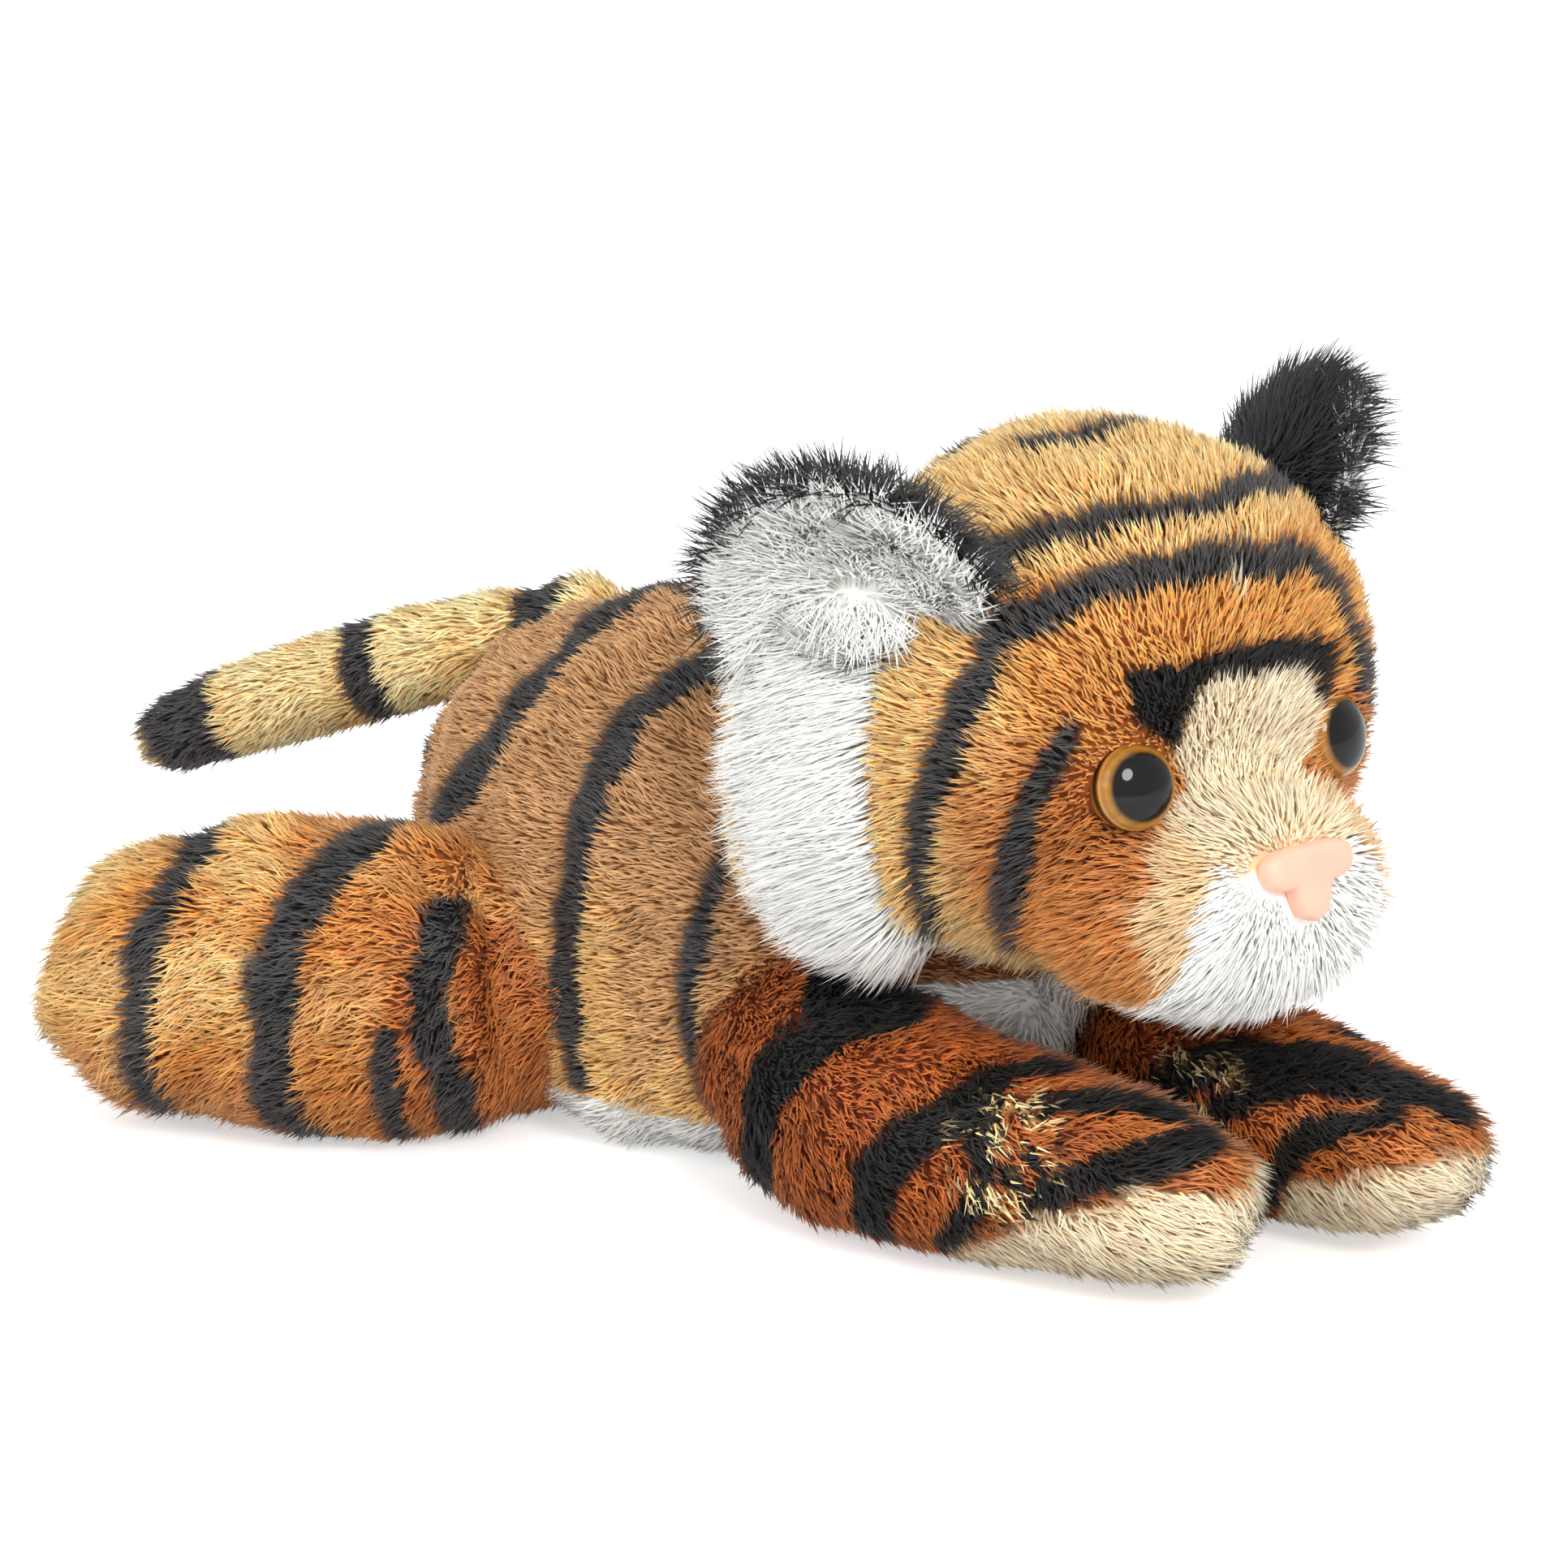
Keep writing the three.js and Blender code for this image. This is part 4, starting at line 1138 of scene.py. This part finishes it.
def tail_shade(root, normal):
    _, share = along_line(root, TAIL_PATH)
    place = share + 0.008 * ripple(root, 6 * MM, 3)
    ring = np.zeros(len(root))
    for middle, half in TAIL_RINGS:
        off = np.abs(place - middle)
        ring = np.maximum(ring, smoothstep(half + TAIL_RING_EDGE, half - TAIL_RING_EDGE, off))
    tones = mix(flat(PALE_GOLD, len(root)), GOLD, np.clip(0.25 + 0.4 * ripple(root, 13 * MM, 19), 0, 1))
    return mix(tones, STRIPE, ring)


tail_cloth = stuffed_cloth(
    "tail_cloth", ["tail_cover", "tail_fibrefill"], plugs=[((0, 32, 67.5), (6.5, 8, 6.5))], voxel=1.6 * MM
)
paint_cloth(tail_cloth, tail_shade)
sewn(tail_cloth, "tail", "fibrefill", "tail_fibrefill")
tail_pile = lay_pile(
    "tail_pile",
    tail_cloth,
    keep=lambda root, normal: np.ones(len(root), bool),
    comb=down_leg(TAIL_PATH),
    shade=tail_shade,
    length=even(4.0 * MM),
    upright=0.3,
    pull_in=0.7,
    seed=70,
)
sewn(tail_pile, "tail", "striped_plush", "tail_cover")

# Studio: a pale floor, a round lamp in front of the face, softer ones at the side and overhead, and the
# camera at the photograph's angle, on the toy's right front. Light passes on from fibre to fibre many
# times in a pale pile, so it may bounce more often than it does by default.
DIFFUSE_BOUNCES = 10
bpy.context.scene.cycles.diffuse_bounces = DIFFUSE_BOUNCES
bpy.context.scene.cycles.max_bounces = DIFFUSE_BOUNCES + 4
CAMERA_AIM = Vector((0, -7.1, 50.3)) * MM
CAMERA_AZIMUTH, CAMERA_ELEVATION, CAMERA_DISTANCE = -50, 17, 0.9
LIT_BY_WORLD, SEEN_WORLD, SEEN_FLOOR = 0.85, 1.0, 0.5


def from_aim(azimuth, elevation, distance):
    a, e = math.radians(azimuth), math.radians(elevation)
    way = Vector((math.sin(a) * math.cos(e), -math.cos(a) * math.cos(e), math.sin(e)))
    return CAMERA_AIM + distance * way


def lamp(name, azimuth, elevation, distance, size, watts):
    place = from_aim(azimuth, elevation, distance)
    bpy.ops.object.light_add(type="AREA", location=place)
    made = bpy.context.object
    made.name = name
    made.rotation_euler = (place - CAMERA_AIM).to_track_quat("Z", "Y").to_euler()
    made.data.shape = "DISK"
    made.data.size = size
    made.data.energy = watts


lamp("key_lamp", azimuth=-26, elevation=34, distance=1.3, size=0.46, watts=8.5)
lamp("side_lamp", azimuth=-100, elevation=28, distance=1.4, size=1.0, watts=6)
lamp("top_lamp", azimuth=60, elevation=82, distance=1.4, size=1.2, watts=3)


def shown_white(tree, strength_when_lit, strength_when_seen):
    """A strength with one value for light on the toy, another where the camera, gloss or glass sees it."""
    nodes, links = tree.nodes, tree.links
    seen = nodes.new("ShaderNodeLightPath")
    either = nodes.new("ShaderNodeMath")
    either.operation = "MAXIMUM"
    anyway = nodes.new("ShaderNodeMath")
    anyway.operation = "MAXIMUM"
    level = nodes.new("ShaderNodeMapRange")
    level.inputs["To Min"].default_value = strength_when_lit
    level.inputs["To Max"].default_value = strength_when_seen
    for start, leaving, end, entering in (
        (seen, "Is Camera Ray", either, 0),
        (seen, "Is Glossy Ray", either, 1),
        (either, 0, anyway, 0),
        (seen, "Is Transmission Ray", anyway, 1),
        (anyway, 0, level, "Value"),
    ):
        links.new(start.outputs[leaving], end.inputs[entering])
    return level.outputs["Result"]


bpy.ops.mesh.primitive_plane_add(size=12, location=(0, 0, 0))
floor = bpy.context.object
floor.name = "floor"
paper = bpy.data.materials.new("paper_floor")
paper.use_nodes = True
tree = paper.node_tree
matt = tree.nodes["Principled BSDF"]
matt.inputs["Base Color"].default_value = (0.8, 0.8, 0.8, 1)
matt.inputs["Roughness"].default_value = 0.9
glow = tree.nodes.new("ShaderNodeEmission")
both = tree.nodes.new("ShaderNodeAddShader")
tree.links.new(shown_white(tree, 0.0, SEEN_FLOOR), glow.inputs["Strength"])
tree.links.new(matt.outputs[0], both.inputs[0])
tree.links.new(glow.outputs[0], both.inputs[1])
tree.links.new(both.outputs[0], tree.nodes["Material Output"].inputs["Surface"])
floor.data.materials.append(paper)

world = bpy.data.worlds.new("studio")
bpy.context.scene.world = world
world.use_nodes = True
tree = world.node_tree
tree.nodes["Background"].inputs["Color"].default_value = (1, 1, 1, 1)
tree.links.new(shown_white(tree, LIT_BY_WORLD, SEEN_WORLD), tree.nodes["Background"].inputs["Strength"])

bpy.ops.object.camera_add(location=from_aim(CAMERA_AZIMUTH, CAMERA_ELEVATION, CAMERA_DISTANCE))
camera = bpy.context.object
camera.rotation_euler = (camera.location - CAMERA_AIM).to_track_quat("Z", "Y").to_euler()
camera.data.lens = 140
camera.data.sensor_width = 36
camera.data.clip_start = 0.01
bpy.context.scene.camera = camera
bpy.context.scene.view_settings.view_transform = "Standard"
